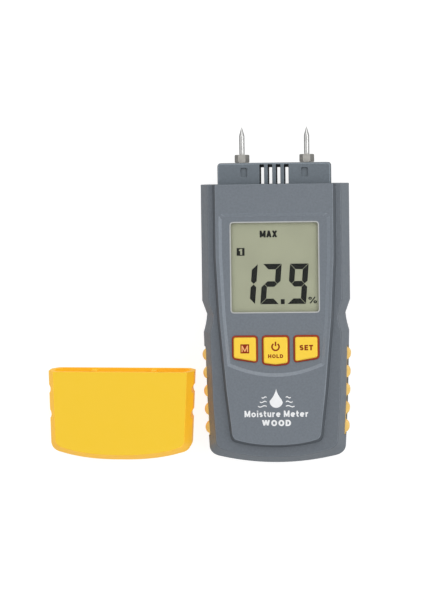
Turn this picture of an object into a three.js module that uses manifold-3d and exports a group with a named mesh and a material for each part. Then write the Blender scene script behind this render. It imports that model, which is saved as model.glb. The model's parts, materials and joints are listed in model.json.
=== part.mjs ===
// Handheld two-pin moisture meter lying on its back, with its loose pin cap beside it.
// Millimetres. X runs across the meter, Y along it towards the pins, Z out of its display side.
// The origin is on the flat back face, on the centre line, midway along the housing.
import * as THREE from 'three';
import { mergeVertices } from 'three/addons/utils/BufferGeometryUtils.js';
import Module from 'manifold-3d';

const wasm = await Module();
wasm.setup();

// ---- Driving dimensions -------------------------------------------------------------------

const GAP = 0.3;                  // clearance between pieces that touch
const WALL = 2.2;                 // wall of the housing shells

// Housing
const HOUSING_TOP = 60;           // Y of the square end that carries the probe head
const HOUSING_BOTTOM = -60;       // Y of the middle of the rounded end
const PARTING_Z = 13.5;           // where front and back shells meet
const SHOULDER_Z = 23.2;          // surface beside the raised panel
const PANEL_Z = 26;               // raised panel
const FRONT_SLOPE = { inset: 3.4, height: 9.2 };   // side faces lean in towards the front
const BACK_SLOPE = { inset: 2.0, height: 7.0 };    // and a little towards the back

// Half-widths down the side of the housing, from the square end to the rounded one
const WAIST = { top: 10.2, neck: 4.4, end: -3.4 };
const MIDDLE_Y = -33;
const HALF_WIDTH = { top: 31.8, neck: 29.75, belowWaist: 31.3, middle: 30.5, foot: 29.4 };
const SIDE_TAPER = 0.0285;       // how fast the side draws in below the waist
const SIDE_FOOT = -52.9;          // Y where the side turns into the rounded end
const END_CORNER = { x: 24.6, y: -57.2 };

// Raised panel on the front shell
const PANEL_HALF = { top: 25.0, keys: 23.75, middle: 21.05, foot: 18.95 };
const PANEL_Y = { top: 29, keys: 3.5, middle: -28, foot: -46 };
const PANEL_FOOT = -47.9;
const PANEL_BOTTOM = -51.3;
const PANEL_SLOPE = { inset: 1.2, height: 2.4 };

// Display
const WINDOW = { halfWidth: 19.05, bottom: 5.05, top: 44.1, corner: 1.3 };
const LENS = { bottom: 23.9, top: 24.9 };
const LCD = { halfWidth: 20.2, bottomY: 1.8, topY: 45.6, z0: 21.2, z1: 23.6 };
const LCD_FRAME = { halfWidth: 21.4, bottomY: 0.6, topY: 46.8 };
const CONTACT_STRIP = { halfLength: 18, inset: 0.8, width: 2.4 };

// Main board
const BOARD = { halfWidth: 23.5, bottomY: -38, topY: 51.5, z0: 16, z1: 17.6 };
const BOARD_NOTCH = { x: 21.4, y: 45.4 };          // clears the upper case screw posts
const BOARD_SCREWS = [[-18.6, 49.2], [18.6, 49.2], [-20.9, -35.5], [20.9, -35.5]];
const BOARD_SCREW = { headRadius: 1.7, headHeight: 1.3, shaft: 0.9, tip: 20.6, postRadius: 2.0, bore: 1.2 };
const CHIP = { halfWidth: 6, y0: 14, y1: 26, height: 1.6 };
const CRYSTAL = { x0: 10, x1: 18, y0: 18, y1: 21.5, height: 2.6 };

// Keys
const KEY = { topY: -5.15, z0: 22.3, z1: 26.6, gap: 0.55, corner: 1.0 };
const KEY_FLANGE = { grow: 0.75, z1: 23.3 };
const KEY_RIM = { inset: 0.35, height: 0.4 };
const SIDE_KEY = { inner: 8.3, outer: 17.9, innerY: -15.55, outerY: -13.9 };
const MIDDLE_KEY = { halfWidth: 5.15, sideY: -16.2, middleY: -16.9 };
const KEYPAD = { halfWidth: 19.2, bottomY: -18.1, topY: -3.5, corner: 1.5, z1: 19.2 };
const DOME = { radius: 3.2, top: 21.2, x: 13.1, sideY: -10, middleY: -10.5 };
const SMILE = { halfWidth: 19.4, endY: -16.4, lowerPull: -27.6, upperPull: -23.6, depth: 0.5 };

// Case screws, driven from the back
const CASE_SCREWS = [[-25, 49], [25, 49], [-23.5, -49.5], [23.5, -49.5]];
const CASE_SCREW = { headRadius: 2.1, headHeight: 1.6, shaft: 1.05, pocketRadius: 2.5, seat: 4.3, tip: 20 };
const CASE_POST = { radius: 3.0, bore: 1.35, top: 21.6 };
const CASE_BOSS = { radius: 3.4, bore: 1.4 };

// Battery bay: three AAA cells side by side behind a sliding door
const BAY = { halfWidth: 17.0, bottomY: -53.2, topY: -4.2, ceiling: 13.7 };
const BAY_WALL = { side: 1.6, bottom: 0.8, top: 1.2, ceiling: 1.3 };
const DOOR_LEDGE = { halfWidth: 22.4, bottomY: -58, topOver: 2.2, z1: 3.4 };
const CELL = { radius: 5.25, length: 44.5, nubLength: 0.8, nubRadius: 1.9, pitch: 11, z: 8.0 };
const CONTACT = { half: 4, thick: 0.4 };
const COIL = { turns: 2.5, length: 2.0, wire: 0.3, wide: 3.4, narrow: 2.2 };
const DOOR = { halfWidth: 19.5, tongue: 1.1, topY: -3.5, thick: 1.9, tongueZ: 1.2 };
const DOOR_GROOVES = { count: 5, firstY: -12, pitch: 2.4, halfLength: 7, halfWidth: 0.6, depth: 0.57 };

// Probe head and pins
const HEAD = { halfWidth: 24.25, topY: 69.1, z0: 7.0, z1: 19.5, corner: 1.4 };
const HEAD_RIM = { inset: 0.9, height: 0.9 };
const HEAD_FLANGE = { halfWidth: 26.2, y0: 55.4, y1: 57.4, z0: 5.6, z1: 20.6 };
const HEAD_Z = (HEAD.z0 + HEAD.z1) / 2;
const PIN_X = 13.9;
const PIN_HOLE = 2.7;
const NUT = { acrossFlats: 5.5, y0: 69.2, y1: 72.6 };
const NEEDLE = { shank: 1.1, radius: 1.15, tipRadius: 0.12, y0: 62, shoulderY: 72.9, coneY: 81, tipY: 84.4 };
const SOCKET = { radius: 2.4, bore: 1.4, y0: 60.4, y1: 68.8 };
const LEAD = { radius: 0.5, bore: 1.1, riseY: 56.2, bendY: 53.6, bendZ: 14.4, landY: 52.6, endY: 48 };
const SLOT = { width: 1.85, pitch: 3.5, count: 4, y0: 58.4, backTopY: 67.1 };
const POCKET = { x: 12.95, width: 2.9, y0: 63.1, y1: 66.9, depth: 1.0, corner: 1.1 };

// Grip strips along the lower sides
const GRIP = { topY: -9.9, bottomY: -47.8, z0: 7.3, z1: 15.7, inner: 1.3, outer: 0.7, groove: 1.6 };
const GRIP_BUMPS = { count: 5, firstY: -13.2, pitch: 7.85, radius: 3.2, proud: 1.0 };

// Pin cap, mouth towards +Y, beside the meter
const CAP = { x: -66.9, mouthY: -19.6, turn: -0.8, length: 38.3, thick: 25, wall: 2.0 };
const CAP_HALF = { mouth: 31.4, foot: 30.3 };
const CAP_SLOPE = { inset: 2.6, height: 6.5 };
const CAP_TAPER = 0.036;
const CAP_NOTCH = { ys: [-7.9, -18.7], radius: 2.2, depth: 0.9 };
const CAP_RIB = { x: 13, halfWidth: 1.2, topY: -0.8, bottomY: -9, sunk: 0.5, gap: 0.6 };

// ---- Materials ----------------------------------------------------------------------------

const finish = (color, roughness, metalness) => () =>
  new THREE.MeshStandardMaterial({ color, roughness, metalness });

const greyPlastic = finish(0x70797f, 0.6, 0);
const headPlastic = finish(0x646c75, 0.55, 0);
const yellowPlastic = finish(0xf3c735, 0.45, 0);
const gripRubber = finish(0xf2a41e, 0.7, 0);
const keyRubber = finish(0xfdc93c, 0.6, 0);
const darkRubber = finish(0x8a3216, 0.8, 0);
const clearPlastic = finish(0xdfe6e0, 0.1, 0);
const lcdGlass = finish(0xa3a68f, 0.2, 0);
const blackPlastic = finish(0x22242a, 0.6, 0);
const boardGreen = finish(0x1f5a3a, 0.5, 0);
const nickel = finish(0xc9c4ba, 0.3, 1);
const steel = finish(0xd4d2cc, 0.25, 1);
const brass = finish(0xc9a04a, 0.35, 1);
const springSteel = finish(0xb8bcc0, 0.35, 1);
const cellJacket = finish(0x3b5f8a, 0.4, 0.2);
const redWire = finish(0xb3261e, 0.6, 0);
const blackWire = finish(0x1b1b1d, 0.6, 0);

// ---- Solids -------------------------------------------------------------------------------

const group = new THREE.Group();

/** Turn a closed three.js geometry, optionally placed by a matrix, into a manifold solid. */
function solid(geometry, matrix) {
  const bare = geometry.clone();
  if (matrix) bare.applyMatrix4(matrix);
  bare.deleteAttribute('normal');
  bare.deleteAttribute('uv');
  const merged = mergeVertices(bare, 1e-4);
  return new wasm.Manifold(new wasm.Mesh({
    numProp: 3,
    vertProperties: new Float32Array(merged.attributes.position.array),
    triVerts: new Uint32Array(merged.index.array),
  }));
}

/** Turn a manifold solid back into a three.js geometry. */
function geometryOf(manifold) {
  const mesh = manifold.getMesh();
  const geometry = new THREE.BufferGeometry();
  geometry.setAttribute('position', new THREE.BufferAttribute(mesh.vertProperties, 3));
  geometry.setIndex(new THREE.BufferAttribute(mesh.triVerts, 1));
  geometry.computeVertexNormals();
  return geometry;
}

/** Add a named piece to the model. */
function piece(name, shape, material, parent = group) {
  const geometry = shape.isBufferGeometry ? shape : geometryOf(shape);
  const mesh = new THREE.Mesh(geometry, material());
  mesh.name = name;
  parent.add(mesh);
  return mesh;
}

const join = (first, ...rest) => rest.reduce((all, one) => all.add(one), first);
const cut = (first, ...rest) => rest.reduce((all, one) => all.subtract(one), first);

function box(x0, x1, y0, y1, z0, z1) {
  const place = new THREE.Matrix4().makeTranslation((x0 + x1) / 2, (y0 + y1) / 2, (z0 + z1) / 2);
  return solid(new THREE.BoxGeometry(x1 - x0, y1 - y0, z1 - z0), place);
}

/** A round rod along Z. */
function rod(radius, x, y, z0, z1, sides = 20) {
  const upright = new THREE.Matrix4().makeRotationX(Math.PI / 2);
  const place = new THREE.Matrix4().makeTranslation(x, y, (z0 + z1) / 2).multiply(upright);
  return solid(new THREE.CylinderGeometry(radius, radius, z1 - z0, sides), place);
}

/** A round rod along Y; six sides make a hexagon. */
function rodY(radius, x, z, y0, y1, sides = 20) {
  const place = new THREE.Matrix4().makeTranslation(x, (y0 + y1) / 2, z);
  return solid(new THREE.CylinderGeometry(radius, radius, y1 - y0, sides), place);
}

/** A solid turned about Y from [radius, y] pairs that start and end on the axis. */
function turnedY(profile, x, z, sides = 20) {
  const points = profile.map(([radius, y]) => new THREE.Vector2(radius, y));
  return solid(new THREE.LatheGeometry(points, sides), new THREE.Matrix4().makeTranslation(x, 0, z));
}

/** Extrude an outline from z0 to z1. */
function plate(shape, z0, z1) {
  const geometry = new THREE.ExtrudeGeometry(shape, { depth: z1 - z0, bevelEnabled: false });
  return solid(geometry, new THREE.Matrix4().makeTranslation(0, 0, z0));
}

/** Extrude an outline from z0 to z1 with both rims leaning in by the same slope. */
function slopedPlate(shape, z0, z1, slope) {
  const geometry = new THREE.ExtrudeGeometry(shape, {
    depth: z1 - z0 - 2 * slope.height,
    bevelEnabled: true,
    bevelThickness: slope.height,
    bevelSize: slope.inset,
    bevelOffset: -slope.inset,
    bevelSegments: 1,
  });
  return solid(geometry, new THREE.Matrix4().makeTranslation(0, 0, z0 + slope.height));
}

/** A shape that mirrors a path running down its right side, from the top to the centre line. */
function mirrored(rightSide, divisions) {
  const right = rightSide.getPoints(divisions);
  const left = right.slice(0, -1).map((p) => new THREE.Vector2(-p.x, p.y)).reverse();
  return new THREE.Shape([...right, ...left]);
}

/** A rectangle, or any convex polygon, with rounded corners. */
function roundedPolygon(corners, radius, divisions = 3) {
  const shape = new THREE.Shape();
  const count = corners.length;
  corners.forEach((corner, i) => {
    const here = new THREE.Vector2(...corner);
    const before = new THREE.Vector2(...corners[(i + count - 1) % count]);
    const after = new THREE.Vector2(...corners[(i + 1) % count]);
    const enter = here.clone().add(before.sub(here).setLength(radius));
    const leave = here.clone().add(after.sub(here).setLength(radius));
    if (i === 0) shape.moveTo(enter.x, enter.y);
    else shape.lineTo(enter.x, enter.y);
    shape.quadraticCurveTo(here.x, here.y, leave.x, leave.y);
  });
  shape.closePath();
  return new THREE.Shape(shape.getPoints(divisions).slice(0, -1));
}

function roundedRectangle(x0, x1, y0, y1, radius) {
  return roundedPolygon([[x0, y0], [x1, y0], [x1, y1], [x0, y1]], radius);
}

// ---- Housing ------------------------------------------------------------------------------

const OVERRUN = 20;               // outlines run past the square end and are cut flat there

/** Outline of the housing at its widest, moved in by inset. */
function housingShape(inset) {
  const half = HALF_WIDTH;
  const path = new THREE.Path();
  path.moveTo(half.top - inset, HOUSING_TOP + OVERRUN);
  path.lineTo(half.top - inset, WAIST.top);
  path.lineTo(half.neck - inset, WAIST.neck);
  path.quadraticCurveTo(half.neck + 0.3 - inset, 0.5, half.belowWaist - inset, WAIST.end);
  path.lineTo(half.middle - inset, MIDDLE_Y);
  path.lineTo(half.foot - inset, SIDE_FOOT + inset);
  path.quadraticCurveTo(
    half.foot - 0.4 - inset, END_CORNER.y + 0.9 + inset, END_CORNER.x - inset, END_CORNER.y + inset);
  path.quadraticCurveTo(END_CORNER.x / 2, HOUSING_BOTTOM + inset, 0, HOUSING_BOTTOM + inset);
  return mirrored(path, 5);
}

/** Outline of the raised panel at its foot, moved in by inset. */
function panelShape(inset) {
  const half = PANEL_HALF;
  const grow = PANEL_SLOPE.inset - inset;
  const path = new THREE.Path();
  path.moveTo(half.top + grow, HOUSING_TOP + OVERRUN);
  path.lineTo(half.top + grow, PANEL_Y.top);
  path.lineTo(half.keys + grow, PANEL_Y.keys);
  path.lineTo(half.middle + grow, PANEL_Y.middle);
  path.lineTo(half.foot + grow, PANEL_Y.foot);
  path.quadraticCurveTo(half.foot - 0.2 + grow, PANEL_FOOT - 0.8 - grow,
    half.foot - 2.6 + grow, PANEL_FOOT - 1.3 - grow);
  path.quadraticCurveTo(half.foot / 2, PANEL_BOTTOM - grow, 0, PANEL_BOTTOM - grow);
  return mirrored(path, 4);
}

function belowTop(manifold, topY) {
  return manifold.subtract(box(-60, 60, topY, HOUSING_TOP + 2 * OVERRUN, -10, 60));
}

/** The front half of the housing block, from below the parting line, shrunk by a wall. */
function frontBlock(wall) {
  const { height } = FRONT_SLOPE;
  const z1 = SHOULDER_Z - wall;
  const sides = slopedPlate(housingShape(wall), z1 - 3 * height, z1, FRONT_SLOPE);
  const panelTop = PANEL_Z - wall;
  const panel = slopedPlate(panelShape(wall), panelTop - 4 * PANEL_SLOPE.height, panelTop, PANEL_SLOPE);
  return belowTop(sides.add(panel), HOUSING_TOP - wall);
}

function backBlock(wall) {
  const block = slopedPlate(housingShape(wall), wall, wall + 40, BACK_SLOPE);
  return belowTop(block, HOUSING_TOP - wall);
}

/** Ring-shaped groove in both shells that holds the grip strips. */
function gripGroove() {
  const outside = plate(housingShape(-3), GRIP.z0 - GAP, GRIP.z1 + GAP);
  const ring = outside.subtract(plate(housingShape(GRIP.groove), 0, 30));
  const span = box(-60, 60, GRIP.bottomY - GAP, GRIP.topY + GAP, 0, 30);
  return ring.intersect(span);
}

/** Opening in the square end for the probe head. */
function headOpening() {
  const side = HEAD.halfWidth + GAP;
  return box(-side, side, HOUSING_TOP - WALL - 1, HOUSING_TOP + 5, HEAD.z0 - GAP, HEAD.z1 + GAP);
}

function sideKeyShape(sign, grow) {
  const { inner, outer, innerY, outerY } = SIDE_KEY;
  const corners = [
    [sign * (inner - grow), KEY.topY + grow],
    [sign * (outer + grow), KEY.topY + grow],
    [sign * (outer + grow), outerY - grow],
    [sign * (inner - grow), innerY - grow],
  ];
  return roundedPolygon(sign > 0 ? corners.reverse() : corners, KEY.corner + grow);
}

function middleKeyShape(grow) {
  const { halfWidth, sideY, middleY } = MIDDLE_KEY;
  const corners = [
    [-halfWidth - grow, KEY.topY + grow],
    [-halfWidth - grow, sideY - grow],
    [0, middleY - grow],
    [halfWidth + grow, sideY - grow],
    [halfWidth + grow, KEY.topY + grow],
  ];
  return roundedPolygon(corners, KEY.corner + grow);
}

const KEYS = [
  { name: 'mode_button', shape: (grow) => sideKeyShape(-1, grow), x: -DOME.x, y: DOME.sideY },
  { name: 'power_button', shape: middleKeyShape, x: 0, y: DOME.middleY },
  { name: 'set_button', shape: (grow) => sideKeyShape(1, grow), x: DOME.x, y: DOME.sideY },
];

/** Shallow crescent pressed into the panel below the keys. */
function smileCut() {
  const { halfWidth, endY, lowerPull, upperPull, depth } = SMILE;
  const crescent = new THREE.Shape();
  crescent.moveTo(-halfWidth, endY);
  crescent.quadraticCurveTo(0, lowerPull, halfWidth, endY);
  crescent.quadraticCurveTo(0, upperPull, -halfWidth, endY);
  return plate(new THREE.Shape(crescent.getPoints(8).slice(0, -1)), PANEL_Z - depth, PANEL_Z + 1);
}

function frontShell() {
  let shell = cut(frontBlock(0), frontBlock(WALL), box(-60, 60, -80, 80, -40, PARTING_Z + GAP / 2));
  const posts = CASE_SCREWS.map(([x, y]) =>
    rod(CASE_POST.radius, x, y, PARTING_Z + GAP / 2, CASE_POST.top));
  for (const [x, y] of BOARD_SCREWS) {
    const ceiling = y > 0 ? PANEL_Z - 1 : SHOULDER_Z - 1;
    posts.push(rod(BOARD_SCREW.postRadius, x, y, BOARD.z1 + GAP, ceiling, 16));
  }
  shell = join(shell, ...posts.map((post) => post.intersect(frontBlock(WALL / 2))));
  const window = roundedRectangle(-WINDOW.halfWidth, WINDOW.halfWidth, WINDOW.bottom, WINDOW.top,
    WINDOW.corner);
  return cut(
    shell,
    plate(window, PARTING_Z, PANEL_Z + 1),
    ...KEYS.map((key) => plate(key.shape(KEY.gap), PARTING_Z, PANEL_Z + 1)),
    ...CASE_SCREWS.map(([x, y]) => rod(CASE_POST.bore, x, y, 0, CASE_SCREW.tip + 0.6, 12)),
    ...BOARD_SCREWS.map(([x, y]) => rod(BOARD_SCREW.bore, x, y, 0, BOARD_SCREW.tip + 0.4, 12)),
    smileCut(),
    gripGroove(),
    headOpening(),
  );
}

/** Space that the battery door fills, grown by gap; its side tongues run in grooves. */
function doorSpace(gap) {
  const { halfWidth, tongue, topY, thick, tongueZ } = DOOR;
  const low = gap > 0 ? -1 : 0;
  const side = halfWidth + gap;
  const plateSpace = box(-side, side, -80, topY + gap, low, thick + gap);
  const tongueSide = side + tongue;
  return plateSpace.add(box(-tongueSide, tongueSide, -80, topY + gap, tongueZ - gap, thick + gap));
}

function backShell() {
  const outside = backBlock(0);
  const shell = outside.subtract(backBlock(WALL));
  const baySide = BAY.halfWidth + BAY_WALL.side;
  const bayWalls = box(-baySide, baySide, BAY.bottomY - BAY_WALL.bottom, BAY.topY + BAY_WALL.top,
    WALL / 2, BAY.ceiling + BAY_WALL.ceiling);
  const { halfWidth, bottomY, topOver } = DOOR_LEDGE;
  const ledgeBlock = box(-halfWidth, halfWidth, bottomY, BAY.topY + topOver, WALL / 2, DOOR_LEDGE.z1);
  const ledge = ledgeBlock.intersect(backBlock(WALL / 2));
  const bosses = CASE_SCREWS.map(([x, y]) =>
    rod(CASE_BOSS.radius, x, y, WALL / 2, PARTING_Z).intersect(backBlock(WALL / 2)));
  const lowHalf = box(-60, 60, -80, 80, -1, PARTING_Z - GAP / 2);
  const body = join(shell, ledge, ...bosses).intersect(lowHalf).add(bayWalls);
  return cut(
    body,
    box(-BAY.halfWidth, BAY.halfWidth, BAY.bottomY, BAY.topY, -1, BAY.ceiling),
    doorSpace(GAP),
    ...CASE_SCREWS.map(([x, y]) => rod(CASE_SCREW.pocketRadius, x, y, -1, CASE_SCREW.seat)),
    ...CASE_SCREWS.map(([x, y]) => rod(CASE_BOSS.bore, x, y, 0, PARTING_Z + 1, 12)),
    gripGroove(),
    headOpening(),
  );
}

/** Grip strip of one side: a thin band with five rounded bumps. */
function gripStrip(sign) {
  const { z0, z1 } = GRIP;
  const { count, firstY, pitch, radius, proud } = GRIP_BUMPS;
  const inner = plate(housingShape(GRIP.inner), 0, 30);
  let strip = plate(housingShape(GRIP.outer), z0, z1);
  for (let i = 0; i < count; i += 1) {
    const y = firstY - i * pitch;
    const wall = HALF_WIDTH.belowWaist - (WAIST.end - y) * SIDE_TAPER;
    strip = strip.add(rod(radius, sign * (wall + proud - radius), y, z0, z1, 24));
  }
  const side = sign > 0 ? [10, 60] : [-60, -10];
  return strip.subtract(inner).intersect(box(...side, GRIP.bottomY, GRIP.topY, 0, 30));
}

function batteryDoor() {
  const { count, firstY, pitch, halfLength, halfWidth, depth } = DOOR_GROOVES;
  let door = backBlock(0).intersect(doorSpace(0));
  for (let i = 0; i < count; i += 1) {
    const y = firstY - i * pitch;
    door = door.subtract(box(-halfLength, halfLength, y - halfWidth, y + halfWidth, -1, depth));
  }
  return door;
}

piece('front_shell', frontShell(), greyPlastic);
piece('back_shell', backShell(), greyPlastic);
piece('grip_strip_left', gripStrip(-1), gripRubber);
piece('grip_strip_right', gripStrip(1), gripRubber);
piece('battery_door', batteryDoor(), greyPlastic);

// ---- Probe head and pins ------------------------------------------------------------------

function probeHead() {
  const { halfWidth, topY, z0, z1 } = HEAD;
  const block = roundedRectangle(-halfWidth, halfWidth, HEAD_FLANGE.y0 - 2, topY, HEAD.corner);
  let head = slopedPlate(block, z0, z1, HEAD_RIM);
  head = head.subtract(box(-60, 60, 40, HEAD_FLANGE.y0, 0, 30));
  const flange = HEAD_FLANGE;
  head = head.add(box(-flange.halfWidth, flange.halfWidth, flange.y0, flange.y1, flange.z0, flange.z1));
  for (let i = 0; i < SLOT.count; i += 1) {
    const x = (i - (SLOT.count - 1) / 2) * SLOT.pitch;
    const left = x - SLOT.width / 2;
    const right = x + SLOT.width / 2;
    head = head.subtract(box(left, right, SLOT.y0, topY + 1, HEAD_Z, z1 + 1));
    head = head.subtract(box(left, right, SLOT.y0, SLOT.backTopY, z0 - 1, HEAD_Z + 1));
  }
  for (const side of [-1, 1]) {
    const x = side * POCKET.x;
    const half = POCKET.width / 2;
    const pocket = roundedRectangle(x - half, x + half, POCKET.y0, POCKET.y1, POCKET.corner);
    head = head.subtract(plate(pocket, z1 - POCKET.depth, z1 + 1));
    head = head.subtract(rodY(PIN_HOLE, side * PIN_X, HEAD_Z, SOCKET.y0 - GAP, topY + 1));
    head = head.subtract(rodY(LEAD.bore, side * PIN_X, HEAD_Z, flange.y0 - 1, SOCKET.y0, 12));
  }
  return head;
}

/** Threaded brass insert, open at both ends. */
function pinSocket(x) {
  const tube = rodY(SOCKET.radius, x, HEAD_Z, SOCKET.y0, SOCKET.y1);
  return tube.subtract(rodY(SOCKET.bore, x, HEAD_Z, SOCKET.y0 - 1, SOCKET.y1 + 1, 14));
}

function pinNut(x) {
  const { acrossFlats, y0, y1 } = NUT;
  const radius = acrossFlats / Math.sqrt(3);
  const flatUp = new THREE.CylinderGeometry(radius, radius, y1 - y0, 6).rotateY(Math.PI / 6);
  const hex = solid(flatUp, new THREE.Matrix4().makeTranslation(x, (y0 + y1) / 2, HEAD_Z));
  return hex.subtract(rodY(NEEDLE.shank + GAP, x, HEAD_Z, y0 - 1, y1 + 1, 14));
}

function needle(x) {
  const { shank, radius, y0, shoulderY, coneY, tipY, tipRadius } = NEEDLE;
  const profile = [[0, y0], [shank, y0], [shank, shoulderY], [radius, shoulderY],
    [radius, coneY], [tipRadius, tipY], [0, tipY]];
  return turnedY(profile, x, HEAD_Z);
}

/** A wire: a thin tube along a smooth curve through the points. */
function wire(points, radius, steps, sides) {
  const section = new THREE.Shape();
  for (let i = 0; i < sides; i += 1) {
    const angle = (i * 2 * Math.PI) / sides;
    const corner = [radius * Math.cos(angle), radius * Math.sin(angle)];
    if (i === 0) section.moveTo(...corner);
    else section.lineTo(...corner);
  }
  const extrudePath = new THREE.CatmullRomCurve3(points);
  return solid(new THREE.ExtrudeGeometry(section, { extrudePath, steps }));
}

function probeLead(x) {
  const { radius, riseY, bendY, bendZ, landY, endY } = LEAD;
  const boardZ = BOARD.z1 + GAP + radius;
  const route = [[SOCKET.y0 - GAP, HEAD_Z], [riseY, HEAD_Z], [bendY, bendZ], [landY, boardZ],
    [(landY + endY) / 2, boardZ + radius], [endY, boardZ]];
  return wire(route.map(([y, z]) => new THREE.Vector3(x, y, z)), radius, 14, 8);
}

piece('probe_head', probeHead(), headPlastic);
for (const [side, x] of [['left', -PIN_X], ['right', PIN_X]]) {
  piece(`pin_socket_${side}`, pinSocket(x), brass);
  piece(`pin_nut_${side}`, pinNut(x), nickel);
  piece(`needle_${side}`, needle(x), steel);
  piece(`probe_lead_${side}`, probeLead(x), side === 'left' ? blackWire : redWire);
}

// ---- Display ------------------------------------------------------------------------------

function displayLens() {
  const { halfWidth, bottom, top, corner } = WINDOW;
  const side = halfWidth - GAP;
  const shape = roundedRectangle(-side, side, bottom + GAP, top - GAP, corner);
  return plate(shape, LENS.bottom, LENS.top);
}

function lcdFrame() {
  const { halfWidth, bottomY, topY } = LCD_FRAME;
  const inner = LCD.halfWidth + GAP;
  const ring = box(-halfWidth, halfWidth, bottomY, topY, BOARD.z1 + GAP, LCD.z1);
  return ring.subtract(box(-inner, inner, LCD.bottomY - GAP, LCD.topY + GAP, 0, 30));
}

/** Rubber strip that carries the signals from the board to the display. */
function contactStrip() {
  const { halfLength, inset, width } = CONTACT_STRIP;
  const y0 = LCD.bottomY + inset;
  return box(-halfLength, halfLength, y0, y0 + width, BOARD.z1 + GAP, LCD.z0 - GAP);
}

piece('display_lens', displayLens(), clearPlastic);
piece('lcd_glass', box(-LCD.halfWidth, LCD.halfWidth, LCD.bottomY, LCD.topY, LCD.z0, LCD.z1), lcdGlass);
piece('lcd_frame', lcdFrame(), blackPlastic);
piece('contact_strip', contactStrip(), darkRubber);

// ---- Main board ---------------------------------------------------------------------------

function mainBoard() {
  const { halfWidth, bottomY, topY, z0, z1 } = BOARD;
  const notches = [-1, 1].map((side) => {
    const edges = [side * BOARD_NOTCH.x, side * 40].sort((a, b) => a - b);
    return box(...edges, BOARD_NOTCH.y, HOUSING_TOP, 0, 30);
  });
  const holes = BOARD_SCREWS.map(([x, y]) => rod(BOARD_SCREW.shaft + 1.5 * GAP, x, y, 0, 30, 12));
  return cut(box(-halfWidth, halfWidth, bottomY, topY, z0, z1), ...notches, ...holes);
}

/** A pan-head screw along Z with its head below the seat. */
function screw(x, y, seat, { headRadius, headHeight, shaft, tip }) {
  const z0 = seat - GAP - headHeight;
  const recess = { half: 0.25, reach: headRadius * 0.6, depth: 0.6 };
  const bladeEnd = z0 + recess.depth;
  return cut(
    rod(headRadius, x, y, z0, z0 + headHeight, 16).add(rod(shaft, x, y, z0 + headHeight / 2, tip, 12)),
    box(x - recess.half, x + recess.half, y - recess.reach, y + recess.reach, z0 - 1, bladeEnd),
    box(x - recess.reach, x + recess.reach, y - recess.half, y + recess.half, z0 - 1, bladeEnd),
  );
}

/** A block soldered to the underside of the board. */
function boardBlock(x0, x1, y0, y1, height) {
  return box(x0, x1, y0, y1, BOARD.z0 - GAP - height, BOARD.z0 - GAP);
}

piece('main_board', mainBoard(), boardGreen);
piece('processor_chip', boardBlock(-CHIP.halfWidth, CHIP.halfWidth, CHIP.y0, CHIP.y1, CHIP.height),
  blackPlastic);
piece('crystal_can', boardBlock(CRYSTAL.x0, CRYSTAL.x1, CRYSTAL.y0, CRYSTAL.y1, CRYSTAL.height), nickel);
BOARD_SCREWS.forEach(([x, y], i) => {
  piece(`board_screw_${i + 1}`, screw(x, y, BOARD.z0, BOARD_SCREW), springSteel);
});
CASE_SCREWS.forEach(([x, y], i) => {
  piece(`case_screw_${i + 1}`, screw(x, y, CASE_SCREW.seat, CASE_SCREW), springSteel);
});

// ---- Keys ---------------------------------------------------------------------------------

function keypadMat() {
  const { halfWidth, bottomY, topY, corner, z1 } = KEYPAD;
  let mat = plate(roundedRectangle(-halfWidth, halfWidth, bottomY, topY, corner), BOARD.z1 + GAP, z1);
  for (const { x, y } of KEYS) mat = mat.add(rod(DOME.radius, x, y, z1 - GAP, DOME.top));
  return mat;
}

function keyCap(shape) {
  const cap = slopedPlate(shape(0), KEY.z0 - 3, KEY.z1, KEY_RIM);
  const trimmed = cap.subtract(box(-60, 60, -60, 60, 0, KEY.z0));
  return trimmed.add(plate(shape(KEY_FLANGE.grow), KEY.z0, KEY_FLANGE.z1));
}

piece('keypad_mat', keypadMat(), darkRubber);
for (const { name, shape } of KEYS) piece(name, keyCap(shape), keyRubber);

// ---- Batteries ----------------------------------------------------------------------------

/** One AAA cell; direction is +1 when its positive end faces +Y. */
function batteryCell(x, direction) {
  const inset = 2 * GAP + CONTACT.thick;
  const positiveY = direction > 0 ? BAY.topY - inset : BAY.bottomY + inset;
  const along = (distance) => positiveY - direction * distance;
  const { radius, length, nubLength, nubRadius, z } = CELL;
  const profile = [[0, along(0)], [nubRadius, along(0)], [nubRadius, along(nubLength)],
    [radius - 0.4, along(nubLength)], [radius, along(nubLength + 0.4)],
    [radius, along(length - 0.3)], [radius - 0.3, along(length)], [0, along(length)]];
  return turnedY(direction > 0 ? profile.reverse() : profile, x, z, 24);
}

/** Flat contact plate of the positive end. */
function contactPlate(x, endY, direction) {
  const near = endY - direction * GAP;
  const edges = [near, near - direction * CONTACT.thick].sort((a, b) => a - b);
  return box(x - CONTACT.half, x + CONTACT.half, ...edges, CELL.z - CONTACT.half, CELL.z + CONTACT.half);
}

/** Coil spring of the negative end, seated on the bay's end wall. */
function contactSpring(x, endY, direction) {
  const start = endY + direction * (GAP + COIL.wire);
  const steps = COIL.turns * 10;
  const points = [];
  for (let i = 0; i <= steps; i += 1) {
    const part = i / steps;
    const angle = part * COIL.turns * 2 * Math.PI;
    const radius = COIL.wide + (COIL.narrow - COIL.wide) * part;
    points.push(new THREE.Vector3(x + radius * Math.cos(angle),
      start + direction * part * COIL.length, CELL.z + radius * Math.sin(angle)));
  }
  return wire(points, COIL.wire, 36, 6);
}

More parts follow.
